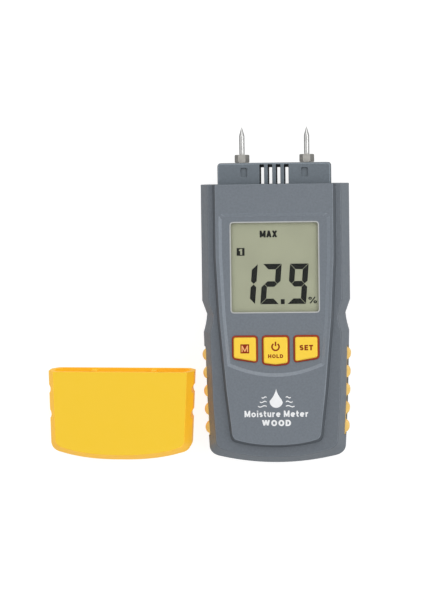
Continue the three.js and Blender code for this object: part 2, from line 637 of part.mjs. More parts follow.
[-1, 0, 1].forEach((column, i) => {
  const x = column * CELL.pitch;
  const direction = column === 0 ? -1 : 1;
  const [positiveEnd, negativeEnd] = direction > 0 ? [BAY.topY, BAY.bottomY] : [BAY.bottomY, BAY.topY];
  piece(`battery_cell_${i + 1}`, batteryCell(x, direction), cellJacket);
  piece(`battery_contact_${i + 1}`, contactPlate(x, positiveEnd, direction), nickel);
  piece(`battery_spring_${i + 1}`, contactSpring(x, negativeEnd, direction), springSteel);
});

// ---- Pin cap ------------------------------------------------------------------------------

/** Outline of the cap, mouth on the X axis and closed end towards -Y. */
function capShape(inset) {
  const { mouth, foot } = CAP_HALF;
  const end = -CAP.length;
  const path = new THREE.Path();
  path.moveTo(mouth - inset, OVERRUN);
  path.lineTo(mouth - inset, 0);
  path.lineTo(foot - inset, end + 7.5 + inset);
  path.quadraticCurveTo(foot - 0.4 - inset, end + 3.9 + inset, foot - 4.4 - inset, end + 3.1 + inset);
  path.quadraticCurveTo(foot / 2, end - 0.2 + inset, 0, end + inset);
  return mirrored(path, 5);
}

function pinCap() {
  const beyondMouth = box(-60, 60, 0, 60, -10, 60);
  const outer = slopedPlate(capShape(0), 0, CAP.thick, CAP_SLOPE);
  const inner = slopedPlate(capShape(CAP.wall), CAP.wall, CAP.thick - CAP.wall, CAP_SLOPE);
  let cap = cut(outer, inner, beyondMouth);
  for (const side of [-1, 1]) {
    for (const y of CAP_NOTCH.ys) {
      const wall = CAP_HALF.mouth + y * CAP_TAPER;
      const x = side * (wall - CAP_NOTCH.depth + CAP_NOTCH.radius);
      cap = cap.subtract(rod(CAP_NOTCH.radius, x, y, -1, CAP.thick + 1));
    }
    const [x0, x1] = [side * CAP_RIB.x - CAP_RIB.halfWidth, side * CAP_RIB.x + CAP_RIB.halfWidth];
    const { bottomY, topY, sunk, gap } = CAP_RIB;
    cap = cap.add(box(x0, x1, bottomY, topY, CAP.wall - sunk, HEAD.z0 - gap));
    cap = cap.add(box(x0, x1, bottomY, topY, HEAD.z1 + gap, CAP.thick - CAP.wall + sunk));
  }
  return cap;
}

const capPlace = new THREE.Group();
capPlace.position.set(CAP.x, CAP.mouthY, 0);
capPlace.rotation.z = THREE.MathUtils.degToRad(CAP.turn);
group.add(capPlace);
piece('pin_cap', pinCap(), yellowPlastic, capPlace);

export default group;
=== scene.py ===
"""Looks of a handheld two-pin moisture meter and its loose pin cap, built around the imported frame.

Shapes are worked out in millimetres and written to the meshes in metres. X runs across the meter, Y along it
towards the pins and Z out of its display side, as in the frame.
"""

import json
import math

import bmesh
import bpy
from mathutils import Matrix, Vector


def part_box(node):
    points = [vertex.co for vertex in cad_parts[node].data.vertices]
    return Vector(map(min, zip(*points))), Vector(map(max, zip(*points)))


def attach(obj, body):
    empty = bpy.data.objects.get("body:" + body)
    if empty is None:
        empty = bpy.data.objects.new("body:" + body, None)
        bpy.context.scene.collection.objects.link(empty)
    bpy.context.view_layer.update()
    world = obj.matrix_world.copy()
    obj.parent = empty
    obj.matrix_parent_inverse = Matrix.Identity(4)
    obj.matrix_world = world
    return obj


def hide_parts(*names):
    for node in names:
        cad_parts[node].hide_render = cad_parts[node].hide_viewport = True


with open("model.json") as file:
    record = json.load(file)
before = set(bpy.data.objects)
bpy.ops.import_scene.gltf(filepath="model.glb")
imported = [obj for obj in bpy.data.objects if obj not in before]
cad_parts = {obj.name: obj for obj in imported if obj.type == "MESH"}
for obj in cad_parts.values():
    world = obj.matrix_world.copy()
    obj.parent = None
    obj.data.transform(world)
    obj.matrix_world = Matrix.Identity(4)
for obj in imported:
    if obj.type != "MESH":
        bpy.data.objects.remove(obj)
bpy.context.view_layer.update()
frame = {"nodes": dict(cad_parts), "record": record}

MM = 0.001
RECORD = frame["record"]
BODY_OF = {node: body for body, nodes in RECORD["behaviour"]["bodies"].items() for node in nodes}
SLOT_OF = {row["node"]: row["material_slot"] for row in RECORD["subparts"]}


def box_mm(node):
    """Lowest and highest corner of a CAD node, in millimetres."""
    low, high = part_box(node)
    return low / MM, high / MM


# ---- Driving dimensions, in millimetres ----

SHELL_LOW, SHELL_HIGH = box_mm("front_shell")
HEAD_LOW, HEAD_HIGH = box_mm("probe_head")
LCD_LOW, LCD_HIGH = box_mm("lcd_glass")
LENS_LOW, LENS_HIGH = box_mm("display_lens")
CAP_LOW, CAP_HIGH = box_mm("pin_cap")

GAP = 0.3                         # clearance between pieces that lie against each other
WALL = 2.2
FAR = 60                          # cutting blocks reach at least this far out on their open sides
FRONT_CUT = (10, 30)              # heights between which a hole passes right through the front wall
TOP_Y = SHELL_HIGH.y
BOTTOM_Y = SHELL_LOW.y
PANEL_Z = SHELL_HIGH.z
FRONT_RIM_Z = SHELL_LOW.z
SHOULDER_Z = 23.2
GROOVE_DEPTH = 1.6
SHELL_EDGE = 0.55                 # rounding of the shell's outer edges
CUT_EDGE = 0.3                    # and of the edges that are cut into it
FRONT_SLOPE = (3.4, 9.2)          # how far the side faces lean in, and over what height
PANEL_SLOPE = (1.2, 2.4)          # likewise for the raised panel
OVERRUN = 20                      # outlines run past the square end and are cut flat there

HALF_WIDTH = {"top": 31.8, "neck": 29.75, "below_waist": 31.3, "middle": 30.5, "foot": 29.4}
WAIST = {"top": 10.2, "neck": 4.4, "end": -3.4}
MIDDLE_Y = -33
SIDE_TAPER = 0.0285                # how fast the side draws in below the waist
SIDE_FOOT = -52.9
END_CORNER = (24.6, -57.2)
WAIST_PULL = (0.3, 0.5)           # bend of the outline into the waist
END_PULL = (0.4, 0.9)             # and round the corners of the rounded end
PANEL_HALF = {"top": 25.0, "keys": 23.75, "middle": 21.05, "foot": 18.95}
PANEL_Y = {"top": 29, "keys": 3.5, "middle": -28, "foot": -46}
PANEL_FOOT = -47.9
PANEL_BOTTOM = -51.3
PANEL_CORNER = {"in": 2.6, "down": 1.3, "pull_in": 0.2, "pull_down": 0.8}

WINDOW = {"half": 19.05, "bottom": 5.05, "top": 44.1, "corner": 1.7}
TRIM_WIDTH = 0.5                  # width of the pale ring painted in as the highlight on the display window's edge
LENS_CORNER, LENS_EDGE = 1.2, 0.3
GLASS_EDGE = 0.15
RECESS_DEPTH = 0.9                # the face around the display and keys lies below the panel
RECESS_TOP = (46.4, 47.6)         # upper end of the recess at its floor and at its rim
RECESS_SIDE = (2.6, 1.3)          # its sides' distance from the panel's edge, likewise
SMILE_Y = (-20.7, -22.1)          # lowest point of its curved lower end, likewise
SMILE_END = ((19.4, -16.4), (20.65, -17.3))
KEY_FACE_Z = box_mm("mode_button")[1].z - 0.06   # leaves room for the legends
KEY_TOP_Y = -5.15
KEY_GAP = 0.8
KEY_CORNER = 1.0
KEY_RIM = 0.7                     # height of the key's rounded rim
KEY_CROWN = ((0.05, 0.62), (0.2, 0.3), (0.45, 0.1), (0.9, 0.0))   # how far in, at which share of the rim
SIDE_KEY = {"inner": 8.3, "outer": 17.9, "inner_y": -15.55, "outer_y": -13.9}
MIDDLE_KEY = {"half": 5.15, "side_y": -16.2, "middle_y": -16.9}

HEAD_HALF = 24.25
HEAD_FACES = (HEAD_LOW.z + 1.4, HEAD_HIGH.z - 1.1)
HEAD_FLANGE_Y = 57.4
PIN_X = 13.9
PIN_HOLE = 2.7
SLOT_WIDTH = {"front": 1.95, "back": 1.45}
SLOT_PITCH, SLOT_FOOT = 3.5, 58.4
SLOT_TOP = {"front": 68.4, "back": 67.1}
HEAD_CORNER, HEAD_EDGE, HEAD_CUT_EDGE = 1.6, 0.8, 0.2
POCKET = {"x": 12.95, "half": 1.5, "y0": 62.9, "y1": 67.0, "corner": 0.8, "depth": 1.0}
NUT = {"chamfer": 0.9, "drop": 0.35, "bore": 1.4, "edge": 0.1}
NEEDLE = {"play": 0.05, "thread": 0.15, "pitch": 0.7, "shoulder": 72.9, "cone": 81.0, "waist": 0.55}
GRIP_PADS = {"count": 5, "first": -13.2, "pitch": 7.85, "length": 4.8, "proud": 1.69, "base": 0.7}
GRIP_MESH = {"rows": 190, "columns": 18, "inner": 1.3}

CAP_PLACE = (-66.9, -19.6)        # centre of its mouth
CAP_TURN = -0.8
CAP_HALF = {"mouth": 31.4, "foot": 30.3}
CAP_LENGTH = 38.3
CAP_WALL = 2.0
CAP_SLOPE = (2.6, 6.5)
CAP_TAPER = 0.036
CAP_NOTCH_Y = (-7.9, -18.7)
CAP_NOTCH = {"out": 1.5, "radius": 2.3}
CAP_CORNER = {"turn": 4.4, "tighter": 0.5, "rise": 3.1, "pull_in": 0.4, "pull_up": 0.8}
CAP_RIB = {"x": 13, "half": 1.2, "length": 9, "low": (1.5, 6.4), "high": (20.1, 23.5)}
CAP_EDGE, CAP_RIM_EDGE = 1.3, 0.3


# ---- Mesh kit ----


def link(obj):
    bpy.context.scene.collection.objects.link(obj)
    return obj


def mesh_object(name, points, faces):
    """A mesh object from points in millimetres, with its faces turned outwards."""
    mesh = bpy.data.meshes.new(name)
    mesh.from_pydata([Vector(p) * MM for p in points], [], faces)
    bm = bmesh.new()
    bm.from_mesh(mesh)
    bmesh.ops.recalc_face_normals(bm, faces=bm.faces)
    bm.to_mesh(mesh)
    bm.free()
    return link(bpy.data.objects.new(name, mesh))


def loft(name, rings):
    """A closed solid through rings of 3-D points, all with the same number of points."""
    count = len(rings[0])
    points = [p for ring in rings for p in ring]
    faces = [tuple(range(count)), tuple(range(len(points) - count, len(points)))]
    for r in range(len(rings) - 1):
        base = r * count
        for i in range(count):
            j = (i + 1) % count
            faces.append((base + i, base + j, base + count + j, base + count + i))
    return mesh_object(name, points, faces)


def at(outline, z):
    return [(x, y, z) for x, y in outline]


def prism(name, outlines, z0, z1):
    """One object holding an upright prism for each outline."""
    points, faces = [], []
    for outline in outlines:
        base, count = len(points), len(outline)
        points += at(outline, z0) + at(outline, z1)
        faces.append(tuple(range(base, base + count)))
        faces.append(tuple(range(base + count, base + 2 * count)))
        for i in range(count):
            j = (i + 1) % count
            faces.append((base + i, base + j, base + count + j, base + count + i))
    return mesh_object(name, points, faces)


def block(name, low, high):
    (x0, y0, z0), (x1, y1, z1) = low, high
    return prism(name, [[(x0, y0), (x1, y0), (x1, y1), (x0, y1)]], z0, z1)


def turned(name, profile, sides=48):
    """A solid of revolution about Z from (radius, z) pairs that start and end on the axis."""
    points = [(0, 0, profile[0][1])]
    for radius, z in profile[1:-1]:
        for i in range(sides):
            angle = 2 * math.pi * i / sides
            points.append((radius * math.cos(angle), radius * math.sin(angle), z))
    points.append((0, 0, profile[-1][1]))
    last = len(points) - 1
    rings = len(profile) - 2
    faces = []
    for i in range(sides):
        j = (i + 1) % sides
        faces.append((0, 1 + i, 1 + j))
        tail = 1 + (rings - 1) * sides
        faces.append((tail + i, tail + j, last))
        for r in range(rings - 1):
            base = 1 + r * sides
            faces.append((base + i, base + j, base + sides + j, base + sides + i))
    return mesh_object(name, points, faces)


def place(obj, matrix):
    """Moves the mesh itself, so that the object stays at the origin."""
    obj.data.transform(matrix)
    return obj


def along_y(x, z):
    """From a solid turned about Z to the same solid along +Y at x, z in millimetres."""
    return Matrix.Translation(Vector((x, 0, z)) * MM) @ Matrix.Rotation(-math.pi / 2, 4, "X")


def apply_modifiers(obj):
    graph = bpy.context.evaluated_depsgraph_get()
    made = bpy.data.meshes.new_from_object(obj.evaluated_get(graph))
    old = obj.data
    obj.modifiers.clear()
    obj.data = made
    made.name = old.name
    bpy.data.meshes.remove(old)
    return obj


def combine(obj, operation, *others):
    """Joins others to obj, or cuts them out of it, and removes them."""
    for other in others:
        modifier = obj.modifiers.new("combine", "BOOLEAN")
        modifier.operation = operation
        modifier.solver = "EXACT"
        modifier.object = other
        apply_modifiers(obj)
        old = other.data
        bpy.data.objects.remove(other)
        bpy.data.meshes.remove(old)
    return obj


def join(obj, *others):
    return combine(obj, "UNION", *others)


def cut(obj, *others):
    return combine(obj, "DIFFERENCE", *others)


def clean(obj, angle=0.5, merge=1e-7):
    """Merges points less than merge metres apart and joins faces that lie in one plane."""
    bm = bmesh.new()
    bm.from_mesh(obj.data)
    bmesh.ops.remove_doubles(bm, verts=bm.verts, dist=merge)
    bmesh.ops.dissolve_limit(bm, angle_limit=math.radians(angle), verts=bm.verts, edges=bm.edges)
    bm.to_mesh(obj.data)
    bm.free()
    return obj


def soften(obj, width, segments=3, angle=32):
    """Rounds every edge that turns by more than the angle."""
    modifier = obj.modifiers.new("soften", "BEVEL")
    modifier.width = width * MM
    modifier.segments = segments
    modifier.limit_method = "ANGLE"
    modifier.angle_limit = math.radians(angle)
    modifier.use_clamp_overlap = True
    return apply_modifiers(obj)


def smooth(obj, angle=32):
    """Smooth shading that keeps flat faces flat."""
    mesh = obj.data
    mesh.polygons.foreach_set("use_smooth", [True] * len(mesh.polygons))
    mesh.set_sharp_from_angle(angle=math.radians(angle))
    modifier = obj.modifiers.new("even", "WEIGHTED_NORMAL")
    modifier.keep_sharp = True
    modifier.weight = 80
    return obj


def fit(obj, material, body, *nodes, slot=None):
    """Gives a piece its material, its body and the CAD nodes that it stands for."""
    obj.data.materials.clear()
    obj.data.materials.append(material)
    smooth(obj)
    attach(obj, body)
    if nodes:
        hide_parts(*nodes)
    return obj


# ---- Outlines ----


def curve(a, b, c, steps):
    """Points after a on the quadratic curve from a to c that b pulls."""
    made = []
    for i in range(1, steps + 1):
        t = i / steps
        made.append(tuple((1 - t) ** 2 * p + 2 * t * (1 - t) * q + t * t * r for p, q, r in zip(a, b, c)))
    return made


def mirrored(right):
    """Closes an outline given by its right side, from the top to the centre line."""
    return right + [(-x, y) for x, y in reversed(right[:-1])]


def rounded(corners, radius, steps=6):
    """A convex polygon with its corners rounded."""
    made = []
    count = len(corners)
    for i, here in enumerate(corners):
        here = Vector(here)
        before = (Vector(corners[i - 1]) - here).normalized() * radius
        after = (Vector(corners[(i + 1) % count]) - here).normalized() * radius
        start, end = tuple(here + before), tuple(here + after)
        made += [start] + curve(start, tuple(here), end, steps)
    return made


def rectangle(x0, x1, y0, y1, radius=0.0):
    corners = [(x0, y0), (x1, y0), (x1, y1), (x0, y1)]
    return rounded(corners, radius) if radius else corners


def circle(x, y, radius, sides=32):
    angles = [2 * math.pi * i / sides for i in range(sides)]
    return [(x + radius * math.cos(a), y + radius * math.sin(a)) for a in angles]


def housing_outline(inset, fine=12):
    """The housing at its widest, moved in by inset."""
    half = HALF_WIDTH
    neck = (half["neck"] - inset, WAIST["neck"])
    below = (half["below_waist"] - inset, WAIST["end"])
    foot = (half["foot"] - inset, SIDE_FOOT + inset)
    corner = (END_CORNER[0] - inset, END_CORNER[1] + inset)
    end = (0, BOTTOM_Y + inset)
    right = [(half["top"] - inset, TOP_Y + OVERRUN), (half["top"] - inset, WAIST["top"]), neck]
    right += curve(neck, (half["neck"] + WAIST_PULL[0] - inset, WAIST_PULL[1]), below, fine)
    right += [(half["middle"] - inset, MIDDLE_Y), foot]
    pull = (half["foot"] - END_PULL[0] - inset, END_CORNER[1] + END_PULL[1] + inset)
    right += curve(foot, pull, corner, fine)
    right += curve(corner, (END_CORNER[0] / 2, end[1]), end, fine)
    return mirrored(right)


def panel_outline(inset, fine=10):
    """The raised panel at its foot, moved in by inset."""
    half = PANEL_HALF
    bend = PANEL_CORNER
    grow = PANEL_SLOPE[0] - inset
    foot = (half["foot"] + grow, PANEL_Y["foot"])
    corner = (half["foot"] - bend["in"] + grow, PANEL_FOOT - bend["down"] - grow)
    end = (0, PANEL_BOTTOM - grow)
    right = [(half["top"] + grow, TOP_Y + OVERRUN), (half["top"] + grow, PANEL_Y["top"])]
    right += [(half["keys"] + grow, PANEL_Y["keys"]), (half["middle"] + grow, PANEL_Y["middle"]), foot]
    pull = (half["foot"] - bend["pull_in"] + grow, PANEL_FOOT - bend["pull_down"] - grow)
    right += curve(foot, pull, corner, fine)
    right += curve(corner, (half["foot"] / 2, end[1]), end, fine)
    return mirrored(right)


def recess_outline(level):
    """The sunken face round display and keys, at its floor (level 0) or its rim (level 1)."""
    side, top, smile = RECESS_SIDE[level], RECESS_TOP[level], SMILE_Y[level]
    smile_end, radius = SMILE_END[level], 2
    corner = (PANEL_HALF["top"] - side, top)
    round_start = (corner[0] - radius, top)
    right = [(0, top), round_start] + curve(round_start, corner, (corner[0], top - radius), 5)
    right += [(PANEL_HALF[row] - side, PANEL_Y[row]) for row in ("top", "keys")] + [smile_end]
    right += curve(smile_end, (smile_end[0] / 2, smile), (0, smile), 14)
    left = [(-x, y) for x, y in reversed(right[1:-1])]
    return right + left


def side_key_outline(sign, grow):
    inner, outer, inner_y, outer_y = SIDE_KEY.values()
    corners = [
        (sign * (inner - grow), KEY_TOP_Y + grow),
        (sign * (outer + grow), KEY_TOP_Y + grow),
        (sign * (outer + grow), outer_y - grow),
        (sign * (inner - grow), inner_y - grow),
    ]
    return rounded(corners, KEY_CORNER + grow)


def middle_key_outline(grow):
    half, side_y, middle_y = MIDDLE_KEY.values()
    corners = [
        (-half - grow, KEY_TOP_Y + grow),
        (-half - grow, side_y - grow),
        (0, middle_y - grow),
        (half + grow, side_y - grow),
        (half + grow, KEY_TOP_Y + grow),
    ]
    return rounded(corners, KEY_CORNER + grow)


KEYS = {
    "mode_button": lambda grow: side_key_outline(-1, grow),
    "power_button": middle_key_outline,
    "set_button": lambda grow: side_key_outline(1, grow),
}


# ---- Materials ----


class Look:
    """A Principled material whose node chains are added one at a time."""

    def __init__(self, name, roughness=0.5, metallic=0.0, specular=0.5):
        self.material = bpy.data.materials.new(name)
        self.material.use_nodes = True
        self.nodes = self.material.node_tree.nodes
        self.links = self.material.node_tree.links
        self.shader = self.nodes["Principled BSDF"]
        self.set("Roughness", roughness)
        self.set("Metallic", metallic)
        self.set("Specular IOR Level", specular)
        self.place = self.nodes.new("ShaderNodeTexCoord").outputs["Object"]

    def set(self, socket, value):
        self.shader.inputs[socket].default_value = value

    def noise(self, size, detail=2.0, stretch=None):
        """Noise whose features are about size millimetres across, stretched along the axes if asked."""
        node = self.nodes.new("ShaderNodeTexNoise")
        node.inputs["Scale"].default_value = 1 / (size * MM)
        node.inputs["Detail"].default_value = detail
        source = self.place
        if stretch:
            mapping = self.nodes.new("ShaderNodeMapping")
            mapping.inputs["Scale"].default_value = stretch
            self.links.new(self.place, mapping.inputs["Vector"])
            source = mapping.outputs["Vector"]
        self.links.new(source, node.inputs["Vector"])
        return node.outputs["Fac"]

    def ramp(self, source, low, high, start=0.35, end=0.65):
        """Colours from low to high as source runs from start to end."""
        return self.stops(source, [(start, low), (end, high)])

    def stops(self, source, marks):
        """Colours at marked positions of source, blended in between."""
        node = self.nodes.new("ShaderNodeValToRGB")
        elements = node.color_ramp.elements
        for i, (position, color) in enumerate(marks):
            element = elements[i] if i < 2 else elements.new(position)
            element.position = position
            element.color = color
        self.links.new(source, node.inputs["Fac"])
        return node.outputs["Color"]

    def remap(self, source, start, end, low=0.0, high=1.0):
        """Numbers from low to high as source runs from start to end."""
        node = self.nodes.new("ShaderNodeMapRange")
        for socket, value in zip(("From Min", "From Max", "To Min", "To Max"), (start, end, low, high)):
            node.inputs[socket].default_value = value
        self.links.new(source, node.inputs["Value"])
        return node.outputs["Result"]

    def coordinates(self, source):
        """The X, Y and Z of a vector."""
        node = self.nodes.new("ShaderNodeSeparateXYZ")
        self.links.new(source, node.inputs["Vector"])
        return node.outputs

    def slope(self, above=None):
        """Upward part of the normal: 1 on level faces, and on all that lies below a height (in metres)."""
        upward = self.coordinates(self.nodes.new("ShaderNodeTexCoord").outputs["Normal"])["Z"]
        if above is None:
            return upward
        lower = self.nodes.new("ShaderNodeMath")
        lower.operation = "LESS_THAN"
        lower.inputs[1].default_value = above
        self.links.new(self.coordinates(self.place)["Z"], lower.inputs[0])
        highest = self.nodes.new("ShaderNodeMath")
        highest.operation = "MAXIMUM"
        self.links.new(lower.outputs["Value"], highest.inputs[0])
        self.links.new(upward, highest.inputs[1])
        return highest.outputs["Value"]

    def along(self, axis, start, end):
        """Runs from 0 to 1 between two coordinates along an axis, in millimetres."""
        return self.remap(self.coordinates(self.place)[axis], start * MM, end * MM)

    def multiply(self, first, second):
        node = self.nodes.new("ShaderNodeVectorMath")
        node.operation = "MULTIPLY"
        self.links.new(first, node.inputs[0])
        self.links.new(second, node.inputs[1])
        return node.outputs["Vector"]

    def paint(self, source):
        self.links.new(source, self.shader.inputs["Base Color"])

    def mottle(self, color, amount, size):
        """Base colour that drifts a little lighter and darker."""
        low = tuple(c * (1 - amount) for c in color) + (1.0,)
        high = tuple(min(1.0, c * (1 + amount)) for c in color) + (1.0,)
        self.paint(self.ramp(self.noise(size), low, high))

    def rough(self, low, high, size, stretch=None):
        level = self.remap(self.noise(size, 3.0, stretch), 0.3, 0.7, low, high)
        self.links.new(level, self.shader.inputs["Roughness"])

    def bump(self, size, depth, strength=0.5, detail=2.0, stretch=None):
        """Relief about depth millimetres deep."""
        node = self.nodes.new("ShaderNodeBump")
        node.inputs["Strength"].default_value = strength
        node.inputs["Distance"].default_value = depth * MM
        self.links.new(self.noise(size, detail, stretch), node.inputs["Height"])
        self.links.new(node.outputs["Normal"], self.shader.inputs["Normal"])


def moulded_plastic(name, color, roughness, grain=0.35, depth=0.02, specular=0.5):
    """Moulded plastic with the fine grain of a spark-eroded tool."""
    look = Look(name, roughness, specular=specular)
    look.mottle(color, 0.05, 9)
    look.rough(roughness - 0.06, roughness + 0.06, 3)
    look.bump(grain, depth, 0.6, 3.0)
    return look.material


def metal(name, color, roughness, stretch=(1, 1, 1), size=0.4):
    """Metal with fine turning or brushing marks along the stretched axis."""
    look = Look(name, roughness, 1.0)
    look.mottle(color, 0.08, 2)
    look.rough(roughness - 0.08, roughness + 0.1, size, stretch)
    look.bump(size, 0.004, 0.4, 2.0, stretch)
    return look.material


def grey(level):
    """A neutral colour, for shading another one."""
    return (level, level, level, 1)


def shell_plastic(name, color, painted_light_above, ledge_z):
    """Spark-eroded grey plastic with painted light: lighter along its ridges (painted highlights), darker in
    the channels and on its ledge (painted shade).
    """
    look = Look(name, 0.42)
    # Painted light by the slope of each face: steep faces darker as painted shade, rounded ridges lighter as
    # painted highlights, level faces their own grey.
    painted_light_levels = [(0.55, 0.60), (0.80, 1.40), (0.96, 1.45), (0.995, 1.0)]
    marks = [(position, (*(part * shade for part in color), 1)) for position, shade in painted_light_levels]
    tint = look.stops(look.slope(painted_light_above), marks)
    speckle = look.ramp(look.noise(0.9), grey(0.94), grey(1.04))
    # Painted shade: a darker band round the ledge height, where shade gathers at the panel's foot.
    painted_ledge_shade_bands = [(0.0, grey(1.0)), (0.3, grey(0.82)), (0.7, grey(0.82)), (1.0, grey(1.0))]
    ledge = look.stops(look.along("Z", ledge_z - 1, ledge_z + 1), painted_ledge_shade_bands)
    look.paint(look.multiply(look.multiply(tint, speckle), ledge))
    look.rough(0.36, 0.48, 3)
    look.bump(0.8, 0.03, 0.6, 3.0)
    return look.material


def cap_material():
    """Yellow moulded plastic with painted light: it deepens to orange as painted shade where its faces turn
    away, and those faces carry a painted glow.
    """
    look = Look("cap_plastic", 0.42)
    # Painted shade: the slope of each face picks a deeper orange where the face turns from the light.
    tint = look.ramp(look.slope(), (1.000, 0.560, 0.022, 1), (0.940, 0.600, 0.022, 1), 0.8, 0.98)
    look.paint(tint)
    glow = look.ramp(look.slope(), (1.000, 0.460, 0.015, 1), (0, 0, 0, 1), 0.75, 0.98)
    look.links.new(glow, look.shader.inputs["Emission Color"])   # painted glow, standing in for light that comes through its thin walls
    look.set("Emission Strength", 0.2)
    look.rough(0.36, 0.48, 3)
    look.bump(0.8, 0.012, 0.6, 3.0)
    return look.material


def key_material():
    """Silicone rubber key: yellow on top, with painted shade in red-brown down its sides, where the light
    sinks.
    """
    look = Look("key_rubber", 0.5)
    # Painted shade: the colour darkens to red-brown towards the foot of the key.
    height = look.along("Z", KEY_FACE_Z - 1.0, KEY_FACE_Z - 0.35)
    tint = look.ramp(height, (0.42, 0.045, 0.004, 1), (0.970, 0.650, 0.045, 1), 0.0, 1.0)
    look.paint(tint)
    look.bump(0.5, 0.012, 0.4, 2.0)
    look.rough(0.44, 0.58, 2)
    return look.material


def lcd_material():
    """Reflective display: a grey-green film with a faint vertical grain."""
    look = Look("lcd_film", 0.45)
    look.mottle((0.540, 0.560, 0.400), 0.035, 14)
    look.rough(0.4, 0.5, 5)
    look.bump(0.3, 0.002, 0.2, 2.0, (1, 0.1, 1))
    return look.material


def lens_material():
    """Clear acrylic that mirrors more the flatter it is looked at."""
    look = Look("lens_acrylic", 0.06)
    look.set("Base Color", (0.20, 0.21, 0.17, 1))
    facing = look.nodes.new("ShaderNodeLayerWeight")
    facing.inputs["Blend"].default_value = 0.35
    strength = look.remap(facing.outputs["Facing"], 0, 1, 0.03, 0.7)
    look.links.new(strength, look.shader.inputs["Alpha"])
    return look.material


def cell_material():
    """Printed film on a cell, with a copper-coloured band towards one end."""
    look = Look("cell_film", 0.32, 0.4)
    end = box_mm("battery_cell_1")[1].y
    band = look.along("Y", end - 11, end - 10.6)
    tint = look.ramp(band, (0.02, 0.05, 0.13, 1), (0.62, 0.3, 0.1, 1), 0.45, 0.55)
    look.paint(tint)
    look.bump(1.5, 0.01, 0.3, 1.0)
    return look.material


def board_material():
    """Green solder mask over copper tracks."""
    look = Look("solder_mask", 0.35)
    tracks = look.noise(1.6, 0.0, (1, 0.25, 1))
    tint = look.ramp(tracks, (0.01, 0.075, 0.03, 1), (0.03, 0.16, 0.06, 1), 0.49, 0.51)
    look.paint(tint)
    look.bump(1.6, 0.03, 0.5, 0.0, (1, 0.25, 1))
    return look.material


# Both shell plastics carry the painted highlights and painted shade of shell_plastic.
HOUSING = shell_plastic("housing_plastic", (0.164, 0.187, 0.215), (SHOULDER_Z - 0.3) * MM, SHOULDER_Z)
HEAD = shell_plastic("head_plastic", (0.145, 0.172, 0.198), HEAD_FACES[0] * MM, HEAD_FACES[0])
CAP = cap_material()
GRIP = moulded_plastic("grip_rubber", (0.930, 0.610, 0.170), 0.62, 0.3, 0.02)
KEY = key_material()
LEGEND = moulded_plastic("legend_ink", (0.270, 0.028, 0.003), 0.6, 0.2, 0.004, 0.2)
LEGEND_LIGHT = moulded_plastic("legend_light", (0.900, 0.430, 0.150), 0.6, 0.2, 0.004)
WHITE_INK = moulded_plastic("white_ink", (0.860, 0.870, 0.880), 0.55, 0.2, 0.004)
LCD_FILM = lcd_material()
LCD_INK = moulded_plastic("lcd_segment", (0.008, 0.010, 0.010), 0.5, 0.3, 0.002, 0.2)
LENS = lens_material()
# Painted highlight: a pale, glossy grey for the ring on the window's edge.
WINDOW_EDGE_HIGHLIGHT = moulded_plastic("painted_window_edge_highlight", (0.480, 0.490, 0.480), 0.22, 1.2, 0.004)
DARK = moulded_plastic("frame_plastic", (0.020, 0.021, 0.024), 0.6)
KEYPAD = moulded_plastic("keypad_rubber", (0.250, 0.035, 0.012), 0.7, 0.4, 0.02)
BOARD = board_material()
NICKEL = metal("nickel_plate", (0.560, 0.550, 0.515), 0.42, (1, 8, 1))
STEEL = metal("needle_steel", (0.640, 0.640, 0.630), 0.38, (1, 10, 1), 0.3)
ZINC = metal("zinc_plate", (0.500, 0.510, 0.530), 0.34)
BRASS = metal("turned_brass", (0.600, 0.360, 0.080), 0.3, (1, 8, 1))
CELL = cell_material()
RED_WIRE = moulded_plastic("red_wire", (0.450, 0.020, 0.015), 0.45, 0.8, 0.01)
BLACK_WIRE = moulded_plastic("black_wire", (0.012, 0.012, 0.013), 0.45, 0.8, 0.01)

LOOK_OF_SLOT = {
    "housing_plastic": HOUSING,
    "head_plastic": HEAD,
    "cap_plastic": CAP,
    "grip_rubber": GRIP,
    "key_rubber": KEY,
    "keypad_rubber": KEYPAD,
    "lens_plastic": LENS,
    "lcd": LCD_FILM,
    "frame_plastic": DARK,
    "circuit_board": BOARD,
    "nickel": NICKEL,
    "needle_steel": STEEL,
    "screw_steel": ZINC,
    "brass": BRASS,
    "cell_jacket": CELL,
    "red_wire": RED_WIRE,
    "black_wire": BLACK_WIRE,
}


# ---- Housing ----


def front_block(name, wall, fine):
    """The front half of the housing, shrunk by a wall, reaching down past the parting line."""
    slope_in, slope_high = FRONT_SLOPE
    top = SHOULDER_Z - wall
    sides = loft(name, [
        at(housing_outline(wall, fine), 0),
        at(housing_outline(wall, fine), top - slope_high),
        at(housing_outline(wall + slope_in, fine), top),
    ])
    panel_in, panel_high = PANEL_SLOPE
    panel_top = PANEL_Z - wall
    panel = loft(name + "_panel", [
        at(panel_outline(wall, fine), 10),
        at(panel_outline(wall, fine), panel_top - panel_high),
        at(panel_outline(wall + panel_in, fine), panel_top),
    ])
    join(sides, panel)
    return cut(sides, block("end", (-FAR, TOP_Y - wall, -FAR), (FAR, TOP_Y + 2 * OVERRUN, FAR)))


def grip_groove():
    """Ring-shaped groove in both shells that holds the grip strips."""
    low, high = box_mm("grip_strip_right")
    ring = prism("groove", [housing_outline(-3)], low.z - GAP, high.z + GAP)
    cut(ring, prism("core", [housing_outline(GROOVE_DEPTH)], 0, 30))
    cut(ring, block("above", (-FAR, high.y + GAP, 0), (FAR, 2 * FAR, 30)))
    return cut(ring, block("below", (-FAR, -2 * FAR, 0), (FAR, low.y - GAP, 30)))


def head_opening():
    """Opening in the square end that the probe head comes out of."""
    side, (z0, z1) = HEAD_HALF + GAP, HEAD_FACES
    return block("opening", (-side, TOP_Y - WALL - 1, z0 - GAP), (side, TOP_Y + 5, z1 + GAP))


